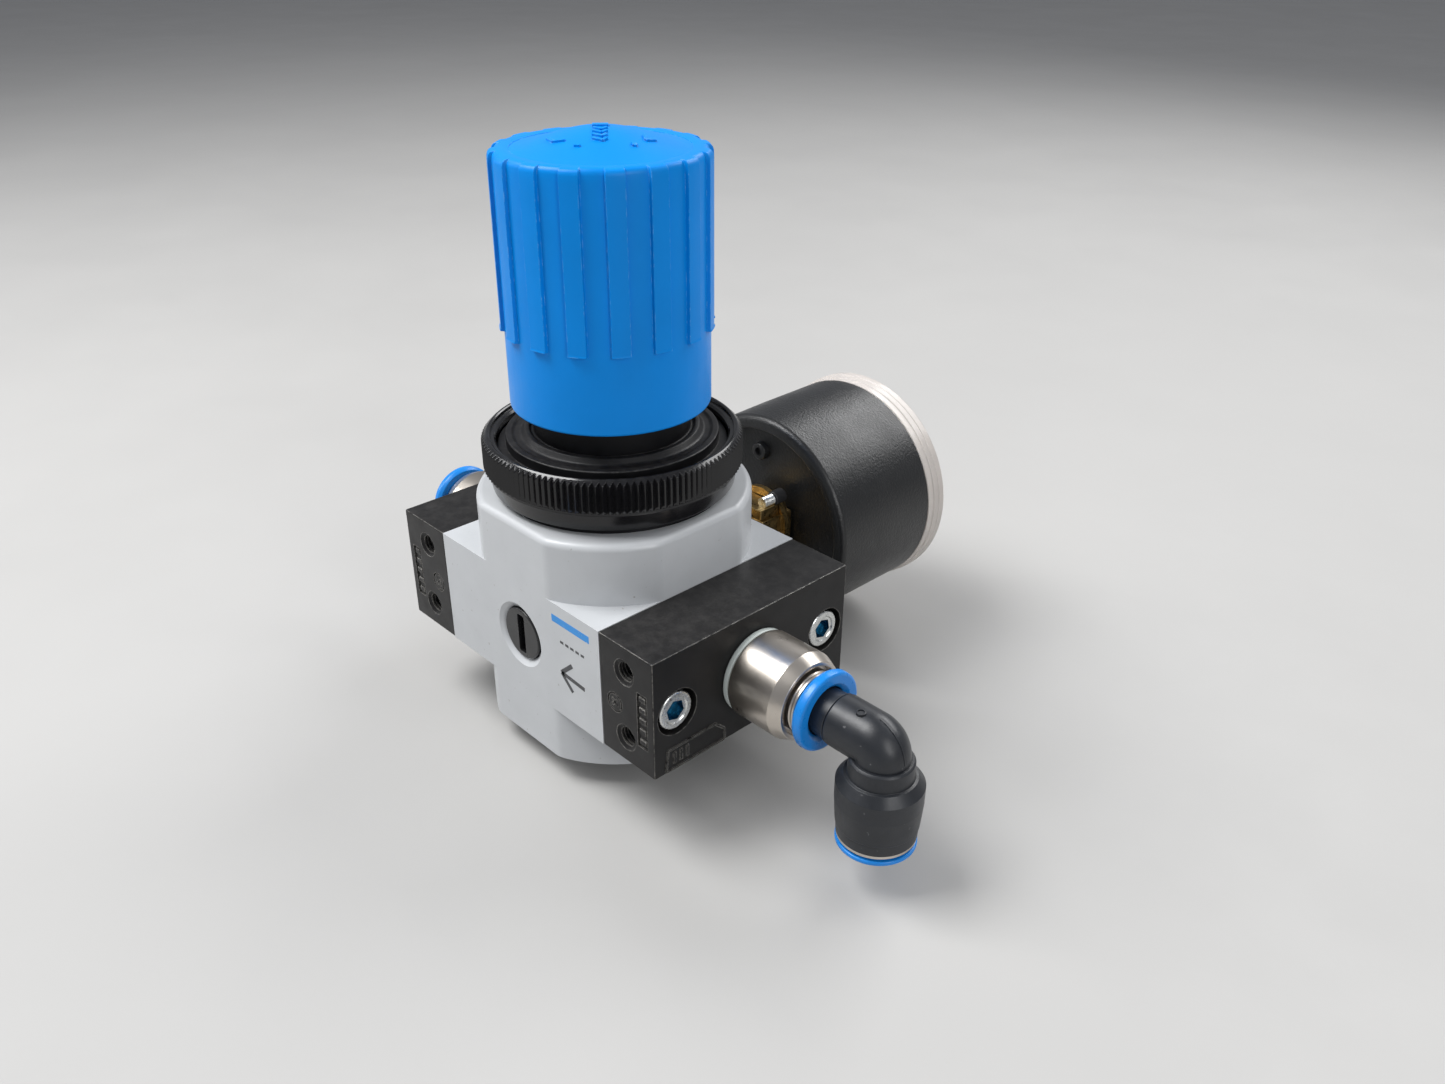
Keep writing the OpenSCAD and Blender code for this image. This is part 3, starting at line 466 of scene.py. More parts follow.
def knob():
    """Ribbed shell: rows run up the side and over the top edge, columns run round the ribs."""
    top = KNOB_HIGH.z
    side = (4.4, 4.75, 4.85, 5.0, 5.15, 5.25, 5.4, 6, 7.5, 9.3)
    offsets = (-11.25, *(-d for d in reversed(side)), -2, 0, 2, *side)
    columns = [(math.radians(RIB_START_DEG + 360 / RIB_COUNT * i + d), abs(d))
               for i in range(RIB_COUNT) for d in offsets]
    # Each row is (kind, height, inset)
    rows = [("flat", KNOB_LOW.z, -3.4), ("flat", KNOB_LOW.z, -0.6), ("flat", KNOB_LOW.z + 0.2, -0.15)]
    rows += [("rib", KNOB_LOW.z + 0.6, 0.0)]
    rows += [("rib", RIB_BOTTOM + up, 0.0) for up in (-0.5, -0.02, 0.06, 0.14)]
    rows += [("lip", RIB_BOTTOM + up, 0.0) for up in (0.22, 0.42)]
    rows += [("rib", z, 0.0) for z in (RIB_BOTTOM + 0.75, (RIB_BOTTOM + top) / 2, top - 2.6)]
    rows += [("rib", top - 1.3, -0.05), ("rib", top - 0.75, -0.2), ("rib", top - 0.35, -0.5),
             ("rib", top - 0.1, -0.9), ("half", top, -1.4), ("flat", top, -2.0),
             ("flat", top - 0.05, -2.8), ("flat", top - 0.15, -3.35), ("flat", top - 0.35, -3.45)]
    rings = []
    for kind, z, inset in rows:
        rise = ease((z - RIB_BOTTOM + 0.02) / 0.24) * RISE[kind]
        lean = KNOB_LEAN * (1 - (z - KNOB_LOW.z) / (top - KNOB_LOW.z))
        ring = []
        for angle, away in columns:
            edge = ease((RIB_HALF_DEG + RIB_SIDE_DEG / 2 - away) / RIB_SIDE_DEG)
            r = KNOB_VALLEY_R + lean + inset + RIB_HEIGHT * rise * edge
            ring.append((r * math.cos(angle), r * math.sin(angle), z))
        rings.append(ring)
    inner = [[(x * 0.996, y * 0.996, top - 4.5) for x, y, _ in rings[-1]]]
    wall = [[(x * KNOB_WALL_SHARE, y * KNOB_WALL_SHARE, z) for x, y, _ in rings[3]]
            for z in (top - 6, KNOB_LOW.z + 1.0)]
    shell = grid(rings + inner + wall, closed_ends=False)
    piece("knob_shell", shell, "knob", "knob_blue", "adjusting_knob", sharp=50)


def knob_cap():
    """Dome in the knob's top, with raised arrow heads, plus and minus and a row of chevrons."""
    base_r = KNOB_CAP_HIGH.x - 0.05
    rim_z = KNOB_HIGH.z - 0.25
    rise = KNOB_CAP_HIGH.z - 0.35 - rim_z

    def crown(t):
        return rim_z + rise * (0.45 * ease(t) + 0.55 * math.sin(t * math.pi / 2))

    profile = [(0, rim_z - 3)] + [(base_r, rim_z - 3), (base_r, rim_z)]
    profile += [(base_r * (1 - t), crown(t)) for t in (i / 24 for i in range(1, 25))]
    dome = lathe(profile, 120)

    def height(x, y):
        return crown(max(0, 1 - math.hypot(x, y) / base_r))

    def mark(points, width):
        """Raised stroke laid on the dome; points are (radius, degrees from the front)."""
        turns = [(r, math.radians(DOME_FRONT_DEG + a)) for r, a in points]
        stroke = strip([(r * math.cos(turn), r * math.sin(turn)) for r, turn in turns], width, 0.55)
        for v in stroke.verts:
            v.co.z += height(v.co.x, v.co.y) - 0.15
        return stroke

    arrow_heads = [mark([(10.3, -72), (10.4, -56), (9.1, -45)], 0.6),
                   mark([(8.7, 70), (10.1, 57), (11.1, 68)], 0.6)]
    minus = mark([(10.4, -26), (10.4, -20)], 0.55)
    plus = [mark([(10.7, 33), (10.7, 39)], 0.55), mark([(10.1, 36), (11.3, 36)], 0.55)]
    marks = [*arrow_heads, minus, *plus]
    for r in (2.6, 4.2, 5.8, 7.4):
        marks.append(mark([(r, -75 / r), (r + 0.8, 4), (r, 75 / r)], 0.55))
    marks.append(mark([(1.5, -90), (1.5, 90)], 1.8))
    piece("knob_dome", joined(dome, *marks), "knob", "knob_blue", "knob_cap", sharp=40)


# ---------------------------------------------------------------- ring nut and bonnet
THREAD_R = 24.3
BONNET_SEAT_Z = TOWER_Z - 1.8


def ring_nut():
    """Knurled nut: the teeth run out into the chamfer at its top edge."""
    teeth = 124
    low, top = NUT_LOW.z, NUT_HIGH.z
    inner = 24.5
    knurl_low = low + 4.1
    chamfer = 1.15
    depth = 0.85
    profile = rounded([
        (inner, low), (NUT_R - 1.6, low, 0.3), (NUT_R - 1.0, low + 3.6, 0.3),
        (NUT_R - 0.55, low + 3.75, 0.1)])
    profile += [(NUT_R - 0.75, knurl_low), (NUT_R, knurl_low + 0.3)]
    tooth_h = top - chamfer - knurl_low - 0.3
    profile += [(NUT_R, knurl_low + 0.3 + tooth_h * i / 3) for i in (1, 2, 3)]
    profile += [(NUT_R - chamfer * i / 8, top - chamfer * (1 - i / 8)) for i in range(1, 8)]
    profile += [(NUT_R - chamfer - 0.1, top), (NUT_R - 1.6, top), (NUT_R - 1.85, top - 0.2),
                (NUT_R - 2.05, top - 0.75), (inner + 0.4, top - 0.85), (inner, top - 1.3)]

    def knurl(r, h, angle):
        if h <= knurl_low or r < NUT_R - chamfer:
            return r
        phase = (angle / TAU * teeth) % 1
        return min(r, NUT_R - depth * (1 - abs(2 * phase - 1)))

    piece("ring_nut", lathe(profile, teeth * 6, knurl), "ring_nut", "nut_black", "panel_ring_nut", sharp=25)


def bonnet():
    """Thread, disc and neck, hollow for the spindle, the spring nut and the spring."""
    disc = TOWER_Z + 12.75
    disc_r = 22.5
    neck_r = 16.5
    spindle_r, nut_r, spring_r = 5.1, 15.4, 22
    low, top = BONNET_SEAT_Z, BONNET_HIGH.z - 0.6
    ceiling, shoulder = top - 3.4, TOWER_Z + 7
    chamber = [(spindle_r, top), (spindle_r, ceiling), (nut_r, ceiling), (nut_r, shoulder),
               (spring_r, shoulder), (spring_r, low)]
    profile = rounded([
        *chamber, (THREAD_R, low), (THREAD_R, disc - 2.4, 0.2), (disc_r, disc - 2.3, 0.1),
        (disc_r, disc - 0.1, 0.3), (disc_r - 1.3, disc, 0.5), (20.7, disc - 0.35, 0.8),
        (19.3, disc - 0.25, 0.9), (18.4, disc + 0.95, 0.5), (17.5, disc + 1.1, 0.35),
        (17.1, disc + 0.35, 0.25), (neck_r, disc + 0.4, 0.5), (neck_r, top, 0.4)])
    piece("bonnet_shell", lathe(profile, 160), "housing", "bonnet_black", "bonnet")


# ---------------------------------------------------------------- body
def tower_outline():
    """Square with large round corners and soft transitions, counter-clockwise."""
    corner_r = 29.7
    soft = 5.0
    lead = math.acos((HALF_W - soft) / (corner_r - soft))
    centre = (HALF_W - soft, (corner_r - soft) * math.sin(lead))
    quarter = arc(centre, soft, 0, lead, 4)
    quarter += arc((0, 0), corner_r, lead, math.pi / 2 - lead, 14)[1:-1]
    quarter += arc((centre[1], centre[0]), soft, math.pi / 2 - lead, math.pi / 2, 4)
    outline = []
    for k in range(4):
        turn = Matrix.Rotation(k * math.pi / 2, 2)
        outline += [tuple(turn @ Vector(p)) for p in quarter]
    return outline


def body_casting():
    """Tower and cross block in one casting, with its two ports and its inner chambers."""
    tower = prism(tower_outline(), BODY_LOW.z, TOWER_Z)
    middle = block((-HALF_W, -HALF_W, BLOCK_Z0), (HALF_W, HALF_W, BLOCK_Z1))
    casting = combined(tower, middle, "UNION")

    def at_rim(edge):
        return all(v.co.z > TOWER_Z - 0.01 for v in edge.verts)

    def at_block_or_upright(edge):
        z0, z1 = (v.co.z for v in edge.verts)
        level = any(abs((z0 + z1) / 2 - z) < 0.01 for z in (BODY_LOW.z, BLOCK_Z0, BLOCK_Z1))
        return level or abs(z0 - z1) > 20

    casting = bevelled(casting, 1.5, where=at_rim, segments=5)
    casting = bevelled(casting, 0.45, smallest=math.radians(40), segments=2, where=at_block_or_upright)
    port_r, port_depth = 6.15, 9
    ports = []
    for axis, y in (("y", FRONT_Y), ("-y", HALF_W)):
        port = lathe([(0, -1), (8.6, -1), (7.3, 0.25), (port_r, 1.2), (port_r, port_depth),
                      (0, port_depth)], 96)
        ports.append(turned(port, axis, (0, y, AXIS_Z)))
    casting = combined(casting, joined(*ports))
    valve_r, seat_r, outlet_r, diaphragm_r = 12, 9.05, 14, 22.5
    thread_r = THREAD_R + 0.05
    seat, seat_top = AXIS_Z - 6.5, AXIS_Z - 1.5
    chambers = lathe([(0, BODY_LOW.z - 1), (valve_r, BODY_LOW.z - 1), (valve_r, seat), (seat_r, seat),
                      (seat_r, seat_top), (outlet_r, seat_top), (outlet_r, BLOCK_Z1),
                      (diaphragm_r, BLOCK_Z1), (diaphragm_r, BONNET_SEAT_Z), (thread_r, BONNET_SEAT_Z),
                      (thread_r, TOWER_Z + 1), (0, TOWER_Z + 1)], 144)
    casting = combined(casting, chambers)
    piece("body_casting", casting, "housing", "body_paint", "main_body", sharp=30)


def front_marks():
    """Flow arrow, a plain bar and a plain dash row, printed on the body's front."""
    ink = 0.03

    def printed(name, solid, material):
        turned(solid, "-y", (0, FRONT_Y + 0.01, AXIS_Z))
        piece(name, solid, "housing", "body_paint", material=material)

    # In the turned plane, x runs along the face and y runs up it from the port axis
    tail, tip = (22.1, -3.0), (14.7, -2.5)
    head = [(18.2, 0.9), (14.4, -2.5), (18.0, -5.8)]
    printed("flow_arrow", joined(strip([tail, tip], 1.0, ink), strip(head, 1.0, ink)), "print_dark")
    printed("plain_bar", strip([(12.2, 10.1), (24.4, 10.1)], 1.7, ink), "print_blue")
    dashes = [strip([(x, 5.2), (x + 1.1, 5.2)], 0.6, ink) for x in (14.6, 16.3, 18.0, 19.7, 21.4)]
    printed("plain_dashes", joined(*dashes), "print_dark")


def port_plug():
    """Slotted plug, a little sunk in the front port."""
    plug = lathe(rounded([(0, 0), (5.95, 0, 0.35), (5.95, 8), (0, 8)]), 96)
    plug = turned(plug, "y", (0, FRONT_Y + 0.45, AXIS_Z))
    slot = block((-1.2, FRONT_Y - 1, AXIS_Z - 4.7), (1.2, FRONT_Y + 2.8, AXIS_Z + 4.7))
    slot = bevelled(slot, 0.5, where=lambda e: abs(e.verts[0].co.y - e.verts[1].co.y) > 1)
    piece("port_plug", combined(plug, slot), "housing", "plug_black", "front_port_plug")


# ---------------------------------------------------------------- port plates and their screws
HOLE_X = 35.0
HOLE_Z = 7.8
SCREW_HEAD_R = 4.25
SCREW_Y = SCREW_HIGH.y - SCREW_HEAD_R
SCREW_TOP = SCREW_HIGH.x
MARK_X = 31.9
MARK_Z = AXIS_Z - 0.75


def threaded_hole():
    """Cutter for an M5 hole with its countersink and thread."""
    pitch, core, crest = 0.8, 2.1, 2.5
    profile = [(0, -1), (2.95, -1), (2.95, 0), (2.5, 0.45)]
    for i in range(9):
        start = 0.6 + pitch * i
        profile += [(core, start), (core, start + 0.15), (crest, start + 0.4), (crest, start + 0.5)]
    profile += [(core, 8), (core, 14), (0, 15.2)]
    return lathe(profile, 40)


def port_plate(side):
    """Plate with its port, screw sinks, threaded holes and raised marks; side is 1 or -1."""
    plate = block((PLATE_X0, FRONT_Y, BLOCK_Z0), (PLATE_X1, HALF_W, BLOCK_Z1))
    plate = bevelled(plate, 0.4, segments=2)
    cutters = []
    for z in (-HOLE_Z, HOLE_Z):
        cutters.append(turned(threaded_hole(), "y", (HOLE_X, FRONT_Y, AXIS_Z + z)))
        cutters.append(turned(threaded_hole(), "-y", (HOLE_X, HALF_W, AXIS_Z + z)))
    for y in (-SCREW_Y, SCREW_Y):
        sink = lathe([(0, -1), (5.3, -1), (5.05, 0.25), (5.05, 5.6), (0, 5.6)], 64)
        cutters.append(turned(sink, "-x", (PLATE_X1, y, AXIS_Z)))
    port = lathe([(0, -1), (8.75, -1), (8.4, 0.35), (8.4, 12), (0, 12)], 96)
    cutters.append(turned(port, "-x", (PLATE_X1, 0, AXIS_Z)))
    marks = [pad_outline()]
    for face_y, axis in ((FRONT_Y, "y"), (HALF_W, "-y")):
        ring = lathe([(1.9, -1), (2.25, -1), (2.25, 0.3), (1.9, 0.3)], 48)
        cutters.append(turned(ring, axis, (MARK_X, face_y, MARK_Z)))
        cutters.append(block((38.7, face_y - 0.35, AXIS_Z - 7.6), (41.6, face_y + 0.35, AXIS_Z + 5.2)))
        for turn in (45, 135):
            bar = block((-1.1, -0.28, -0.05), (1.1, 0.28, 0.25))
            bar.transform(Matrix.Rotation(math.radians(turn), 4, "Z"))
            marks.append(turned(bar, axis, (MARK_X, face_y, MARK_Z)))
        for i in range(5):
            bar = bevelled(block((-0.95, -0.62, 0.04), (0.95, 0.62, 0.4)), 0.12, segments=1)
            marks.append(turned(bar, axis, (40.15, face_y, AXIS_Z - 6.3 + i * 2.55)))
    whole = joined(combined(plate, joined(*cutters)), *marks)
    if side < 0:
        whole = mirrored(whole)
    name = "right" if side > 0 else "left"
    piece(name + "_plate", whole, "housing", "plate_coating", name + "_port_plate", sharp=30)


def pad_outline():
    """Raised frame with one clipped corner, low on the plate's outer face."""
    low, high = (-24.6, -13.2), (-8.6, -8.2)
    outline = [(low[0], low[1]), (high[0], low[1]), (high[0], high[1] - 2.4), (high[0] - 2.6, high[1]),
               (low[0] + 0.6, high[1])]
    bars = []
    count = len(outline)
    for i in range(count):
        a, b = Vector(outline[i]), Vector(outline[(i + 1) % count])
        offset = Vector((b.y - a.y, a.x - b.x)).normalized() * 0.22
        corners = [a - offset, b - offset, b + offset, a + offset]
        bar = grid([[(PLATE_X1 - 0.1, p.x, AXIS_Z + p.y) for p in corners],
                    [(PLATE_X1 + 0.28, p.x, AXIS_Z + p.y) for p in corners]])
        bars.append(bar)
    for x in (-22.6, -20.9, -19.2):
        bars.append(block((PLATE_X1 - 0.1, x, AXIS_Z - 12.0), (PLATE_X1 + 0.2, x + 0.7, AXIS_Z - 9.3)))
    return joined(*bars)


def plate_screws():
    """Four socket-head screws; the faces inside each socket get their own material."""
    socket_r = 2.35
    solids = []
    for y in (-SCREW_Y, SCREW_Y):
        head = lathe(rounded([(0, 0), (SCREW_HEAD_R, 0), (SCREW_HEAD_R, 5, 0.5), (3.0, 5.0), (2.75, 4.75),
                              (0, 4.75)]), 72)
        turns = [math.radians(60 * i + 12) for i in range(6)]
        hexagon = [(socket_r * math.cos(turn), socket_r * math.sin(turn)) for turn in turns]
        head = combined(head, prism(hexagon, 2.2, 6))
        solids.append(turned(head, "x", (SCREW_TOP - 5, y, AXIS_Z)))
    whole = joined(*solids)
    copy = whole.copy()
    screws = piece("plate_screws", joined(whole, mirrored(copy)), "housing", "zinc_steel",
                   "port_plate_screws")
    screws.data.materials.append(MATERIALS["zinc_socket"])
    for face in screws.data.polygons:
        x, y, z = face.center / MM
        off_axis = math.hypot(abs(y) - SCREW_Y, z - AXIS_Z)
        if off_axis < socket_r - 0.03 and abs(x) < SCREW_TOP - 0.4:
            face.material_index = 1


# ---------------------------------------------------------------- fittings and elbow
def fitting(side):
    """Nickel-plated fitting body and the grooved collet in its mouth."""
    name = "right" if side > 0 else "left"
    start = PLATE_X1
    end = FITTING_HIGH.x
    bore_r, thread_r, flange_r = 5.1, 8.3, 9.6
    nickel = lathe(rounded([
        (bore_r, start - 6), (thread_r, start - 6), (thread_r, start + 1.2), (8.7, start + 1.5, 0.2),
        (9.3, start + 1.6, 0.2), (flange_r, start + 2.1, 0.2), (flange_r, end - 2.7, 0.25),
        (8.6, end - 0.3, 0.3), (8.45, end, 0.2), (7.55, end, 0.3), (7.45, end - 1.6),
        (bore_r, end - 1.6)]), 144)
    hole_r, sleeve_r, groove_r, lip_r = 5.3, 6.75, 6.55, 6.9
    collet = lathe(rounded([
        (hole_r, end - 6), (sleeve_r, end - 6), (sleeve_r, end + 0.3, 0.1), (groove_r, end + 0.5, 0.1),
        (groove_r, end + 0.8, 0.1), (lip_r, end + 1.0, 0.1), (lip_r, end + 1.5, 0.1),
        (6.6, end + 1.7, 0.1), (6.6, end + 2.6), (hole_r, end + 2.6)]), 120)
    body = turned(nickel, "x", (0, 0, AXIS_Z))
    sleeve = turned(collet, "x", (0, 0, AXIS_Z))
    if side < 0:
        body, sleeve = mirrored(body), mirrored(sleeve)
    piece(name + "_fitting", body, "housing", "nickel_brass", name + "_fitting_body", sharp=15)
    piece(name + "_collet", sleeve, name + "_release", "nickel_brass")


def washers():
    """White washers between the fittings and the plates."""
    inner_r, outer_r, top = 8.35, 9.3, PLATE_X1 + 1.5
    ring = lathe(rounded([(inner_r, PLATE_X1), (outer_r, PLATE_X1, 0.5), (outer_r, top, 0.5),
                          (inner_r, top)]), 120)
    ring = turned(ring, "x", (0, 0, AXIS_Z))
    copy = ring.copy()
    piece("fitting_washer_pair", joined(ring, mirrored(copy)), "housing", "white_plastic", "fitting_washers")


RELEASE_BORE_R = 5.25


def ring_face_marks(radius, height, count, start_deg, step_deg):
    """Small raised dashes round the face of a release ring."""
    half_length, half_width = 0.75, 0.28
    marks = []
    for i in range(count):
        angle = math.radians(start_deg + step_deg * i)
        bar = block((radius - half_length, -half_width, height - 0.05),
                    (radius + half_length, half_width, height + 0.16))
        bar = bevelled(bar, 0.08, segments=1)
        bar.transform(Matrix.Rotation(angle, 4, "Z"))
        marks.append(bar)
    return marks


def release_ring(side):
    name = "right" if side > 0 else "left"
    start, end = FITTING_HIGH.x + 2.5, RELEASE_HIGH.x
    ring = lathe(rounded([
        (RELEASE_BORE_R, start - 1), (6.6, start - 1), (6.6, start), (8.1, start, 0.4),
        (8.6, start + 0.9, 0.4), (8.5, end - 0.25, 0.6), (7.9, end, 0.4), (6.2, end, 0.4),
        (RELEASE_BORE_R, end - 0.8, 0.3)]), 120)
    marks = ring_face_marks(7.1, end - 0.17, 5, 196, 17)
    ring = turned(joined(ring, *marks), "x", (0, 0, AXIS_Z))
    if side < 0:
        ring = mirrored(ring)
    piece(name + "_ring", ring, name + "_release", "release_blue", name + "_release_ring")


def bent_tube(stem, leg, radius, bend_r, sides=96, steps=20):
    """Tube along X that bends down; stem holds (x, radius) rings and leg holds (z, radius) rings.
    The bend is tighter than the tube, so its inner side ends on the mitre plane."""
    centre_x, centre_z = ELBOW_X - bend_r, AXIS_Z - bend_r
    turns = [TAU * j / sides for j in range(sides)]
    rings = [[(x, r * math.sin(t), AXIS_Z + r * math.cos(t)) for t in turns] for x, r in stem]
    for i in range(steps + 1):
        angle = math.pi / 2 * (1 - i / steps)
        ring = []
        for t in turns:
            reach = bend_r + radius * math.cos(t)
            along, up = (math.cos(angle), math.sin(angle)) if reach > 0 else (1, 1)
            ring.append((centre_x + reach * along, radius * math.sin(t), centre_z + reach * up))
        rings.append(ring)
    rings += [[(ELBOW_X + r * math.cos(t), r * math.sin(t), z) for t in turns] for z, r in leg]
    tube = grid(rings)
    bmesh.ops.remove_doubles(tube, verts=tube.verts, dist=1e-4)
    return tube


def elbow():
    """Black elbow: stem and bend in one tube, the wider leg, its bore, a parting rib and a gate mark."""
    bend_r = 2.6
    pipe_r, stem_r = 5.5, 5.0
    axis = AXIS_Z
    seam_x = RELEASE_HIGH.x + 2.9
    stem = [(RELEASE_HIGH.x - 6, stem_r), (seam_x - 0.4, stem_r), (seam_x - 0.35, 5.35),
            (seam_x - 0.12, 5.35), (seam_x, 5.15), (seam_x + 0.15, 5.4), (seam_x + 0.4, pipe_r),
            (ELBOW_X - pipe_r - 0.3, pipe_r)]
    tail = [(axis - pipe_r - 0.3, pipe_r), (axis - pipe_r - 1.0, pipe_r - 0.05)]
    pipe = bent_tube(stem, tail, pipe_r, bend_r)
    low = ELBOW_LOW.z
    barrel_r = 8.69
    leg = lathe(rounded([
        (0, low), (8.0, low, 0.3), (8.15, axis - 18.2, 0.1), (8.3, axis - 18.0, 0.1),
        (barrel_r, axis - 12.6, 1.5), (barrel_r, axis - 8.6, 0.15), (7.2, axis - 6.7, 0.12),
        (6.6, axis - 6.6, 0.12), (6.4, axis - 3.3, 0.15), (6.0, axis - 2.9, 0.15), (0, axis - 2.9)]), 128)
    leg = turned(leg, "z", (ELBOW_X, 0, 0))
    whole = combined(pipe, leg, "UNION")
    mouth_r, tube_r = 6.95, 5.1
    bore = lathe([(0, low - 1), (mouth_r, low - 1), (mouth_r, axis - 16), (tube_r, axis - 16),
                  (tube_r, axis - 9), (0, axis - 9)], 96)
    bore = turned(bore, "z", (ELBOW_X, 0, 0))
    whole = combined(whole, bore)
    rib_half, rib_rise = 0.32, 0.12
    corners = ((-rib_half, -rib_rise), (rib_half, -rib_rise), (rib_half, rib_rise), (-rib_half, rib_rise))
    rib_path = arc((ELBOW_X - bend_r, axis - bend_r), bend_r + pipe_r - 0.05,
                   math.radians(80), math.radians(5), 8)
    rib = grid([[(x + rise, y, z + rise) for y, rise in corners] for x, z in rib_path])
    gate = lathe(rounded([(0.7, 0), (1.0, 0), (1.0, 0.6, 0.1), (0.7, 0.6), (0.7, 0.4), (0, 0.4), (0, 0)]), 32)
    gate = turned(gate, "z", (ELBOW_X - 4.8, -1.3, axis + pipe_r - 0.45))
    piece("elbow_shell", joined(whole, rib, gate), "elbow", "elbow_black", "elbow_body", sharp=24)
    ring_r, ring_top = 7.95, END_RING_HIGH.z + 0.2
    ring = lathe(rounded([(mouth_r, END_RING_LOW.z), (ring_r, END_RING_LOW.z, 0.2),
                          (ring_r, ring_top, 0.1), (mouth_r, ring_top)]), 120)
    ring = turned(ring, "z", (ELBOW_X, 0, 0))
    piece("elbow_metal_ring", ring, "elbow", "nickel_brass", "elbow_end_ring")


def elbow_release():
    """Blue release ring under the elbow's leg, its dashes facing down."""
    low = ELBOW_RING_LOW.z
    ring = lathe(rounded([
        (RELEASE_BORE_R, low + 0.8, 0.3), (6.2, low, 0.4), (7.6, low, 0.4), (8.1, low + 0.45, 0.3),
        (8.1, low + 1.25, 0.35), (6.75, low + 1.3), (6.75, low + 4.5), (RELEASE_BORE_R, low + 4.5)]), 120)
    marks = ring_face_marks(6.95, -low - 0.17, 5, 40, 17)
    for bar in marks:
        bar.transform(Matrix.Rotation(math.pi, 4, "X"))
    ring = turned(joined(ring, *marks), "z", (ELBOW_X, 0, 0))
    piece("elbow_ring", ring, "elbow_release", "release_blue", "elbow_release_ring")


# ---------------------------------------------------------------- gauge
def gauge_case():
    """Black case with its stepped rim, and the screw boss in its back."""
    back, front = CASE_LOW.y, CASE_HIGH.y
    outer = CASE_HIGH.x
    shell = lathe(rounded([
        (0, back + 3.2), (22.8, back + 3.2, 0.5), (23.1, back, 0.7), (outer - 0.4, back, 3.2),
        (outer - 0.1, back + 14, 5), (outer, front, 0.25), (outer - 1.5, front), (outer - 1.5, back + 5),
        (0, back + 5)]), 192)
    screw_at = (-3.7, -16.2, 0)
    boss = lathe(rounded([(0, back + 1.6), (2.1, back + 1.6, 0.3), (2.4, back + 4), (0, back + 4)]), 64)
    recess = lathe([(0, back), (1.1, back), (1.1, back + 2.4), (0, back + 2.4)], 40)
    boss, recess = turned(boss, "z", screw_at), turned(recess, "z", screw_at)
    shell = joined(combined(boss, recess), shell)
    piece("gauge_shell", turned(shell, "y", (0, 0, GAUGE_Z)), "housing", "gauge_case_black", "gauge_case",
          "gauge_case_screws", sharp=32)


def gauge_window():
    """Clear window in two pieces: the rim that clips on the case and the flat pane."""
    start, end = CASE_HIGH.y, WINDOW_HIGH.y
    outer = WINDOW_HIGH.x
    rim_in = outer - 3.2
    rim = lathe(rounded([
        (rim_in, end - 1.6, 0.2), (outer - 2.6, start - 1.5), (outer - 2.2, start - 1.5),
        (outer - 2.1, start, 0.1), (outer - 0.5, start, 0.2), (outer - 0.5, start + 1.7, 0.1),
        (outer - 0.2, start + 1.9, 0.1), (outer - 0.2, start + 3.4, 0.1), (outer, start + 3.6, 0.1),
        (outer, end - 0.7, 0.5), (outer - 0.8, end, 0.5), (rim_in, end, 0.1)]), 192)
    pane_r, pane_low, pane_high = rim_in - 0.01, end - 1.6, end - 0.1
    pane = lathe([(0, pane_low), (pane_r, pane_low), (pane_r, pane_high), (0, pane_high)], 144)
    centre = (0, 0, GAUGE_Z)
    piece("window_rim", turned(rim, "y", centre), "housing", "clear_window", "gauge_window", sharp=30,
          material="window_rim")
    piece("window_pane", turned(pane, "y", centre), "housing", "clear_window", sharp=30)


DIAL_START_DEG = 225


def on_dial(solid):
    """Lays a flat solid on the dial: x to the right and y up, as seen from the gauge's front."""
    upright = Matrix.Rotation(math.pi, 4, "Z") @ Matrix.Rotation(math.pi / 2, 4, "X")
    solid.transform(Matrix.Translation((0, DIAL_HIGH.y, GAUGE_Z)) @ upright)
    return solid


def dial_point(radius, angle):
    return (radius * math.cos(angle), radius * math.sin(angle))


def gauge_dial():
    """White plate, a scale of 50 steps over 270 degrees, and plain numbers from 0 to 10."""
    plate_r, scale_r, number_r, ink = 24.4, 22, 15.4, 0.04
    plate = lathe(rounded([(0, -0.5), (plate_r, -0.5), (plate_r, 0, 0.1), (0, 0)]), 144)
    piece("dial_plate", on_dial(plate), "housing", "dial_white", "gauge_dial")
    start, sweep = math.radians(DIAL_START_DEG), math.radians(-270)
    steps, per_number = 50, 5
    ticks = []
    for i in range(steps + 1):
        angle = start + sweep * i / steps
        inner, width = (19.0, 0.55) if i % per_number == 0 else (20.4, 0.25)
        ticks.append(strip([dial_point(inner, angle), dial_point(scale_r, angle)], width, ink))
    rim = [dial_point(scale_r, start + sweep * i / 90) for i in range(91)]
    ticks.append(strip(rim, 0.3, ink))
    piece("dial_ticks", on_dial(joined(*ticks)), "housing", "dial_white", material="pointer_black")
    top_value = 10
    for value in range(0, top_value + 1, 2):
        angle = start + sweep * value / top_value
        curve = bpy.data.curves.new(f"dial_number_{value}", "FONT")
        curve.body = str(value)
        curve.size = 4.6
        curve.align_x = "CENTER"
        curve.align_y = "CENTER"
        curve.extrude = 0.02
        holder = bpy.data.objects.new("number", curve)
        bpy.context.scene.collection.objects.link(holder)
        bpy.context.view_layer.update()
        flat = bpy.data.meshes.new_from_object(holder)
        figure = bmesh.new()
        figure.from_mesh(flat)
        bpy.data.objects.remove(holder, do_unlink=True)
        bpy.data.meshes.remove(flat)
        figure.transform(Matrix.Translation((*dial_point(number_r, angle), 0.02)))
        piece(f"dial_number_{value}", on_dial(figure), "housing", "dial_white", material="pointer_black")


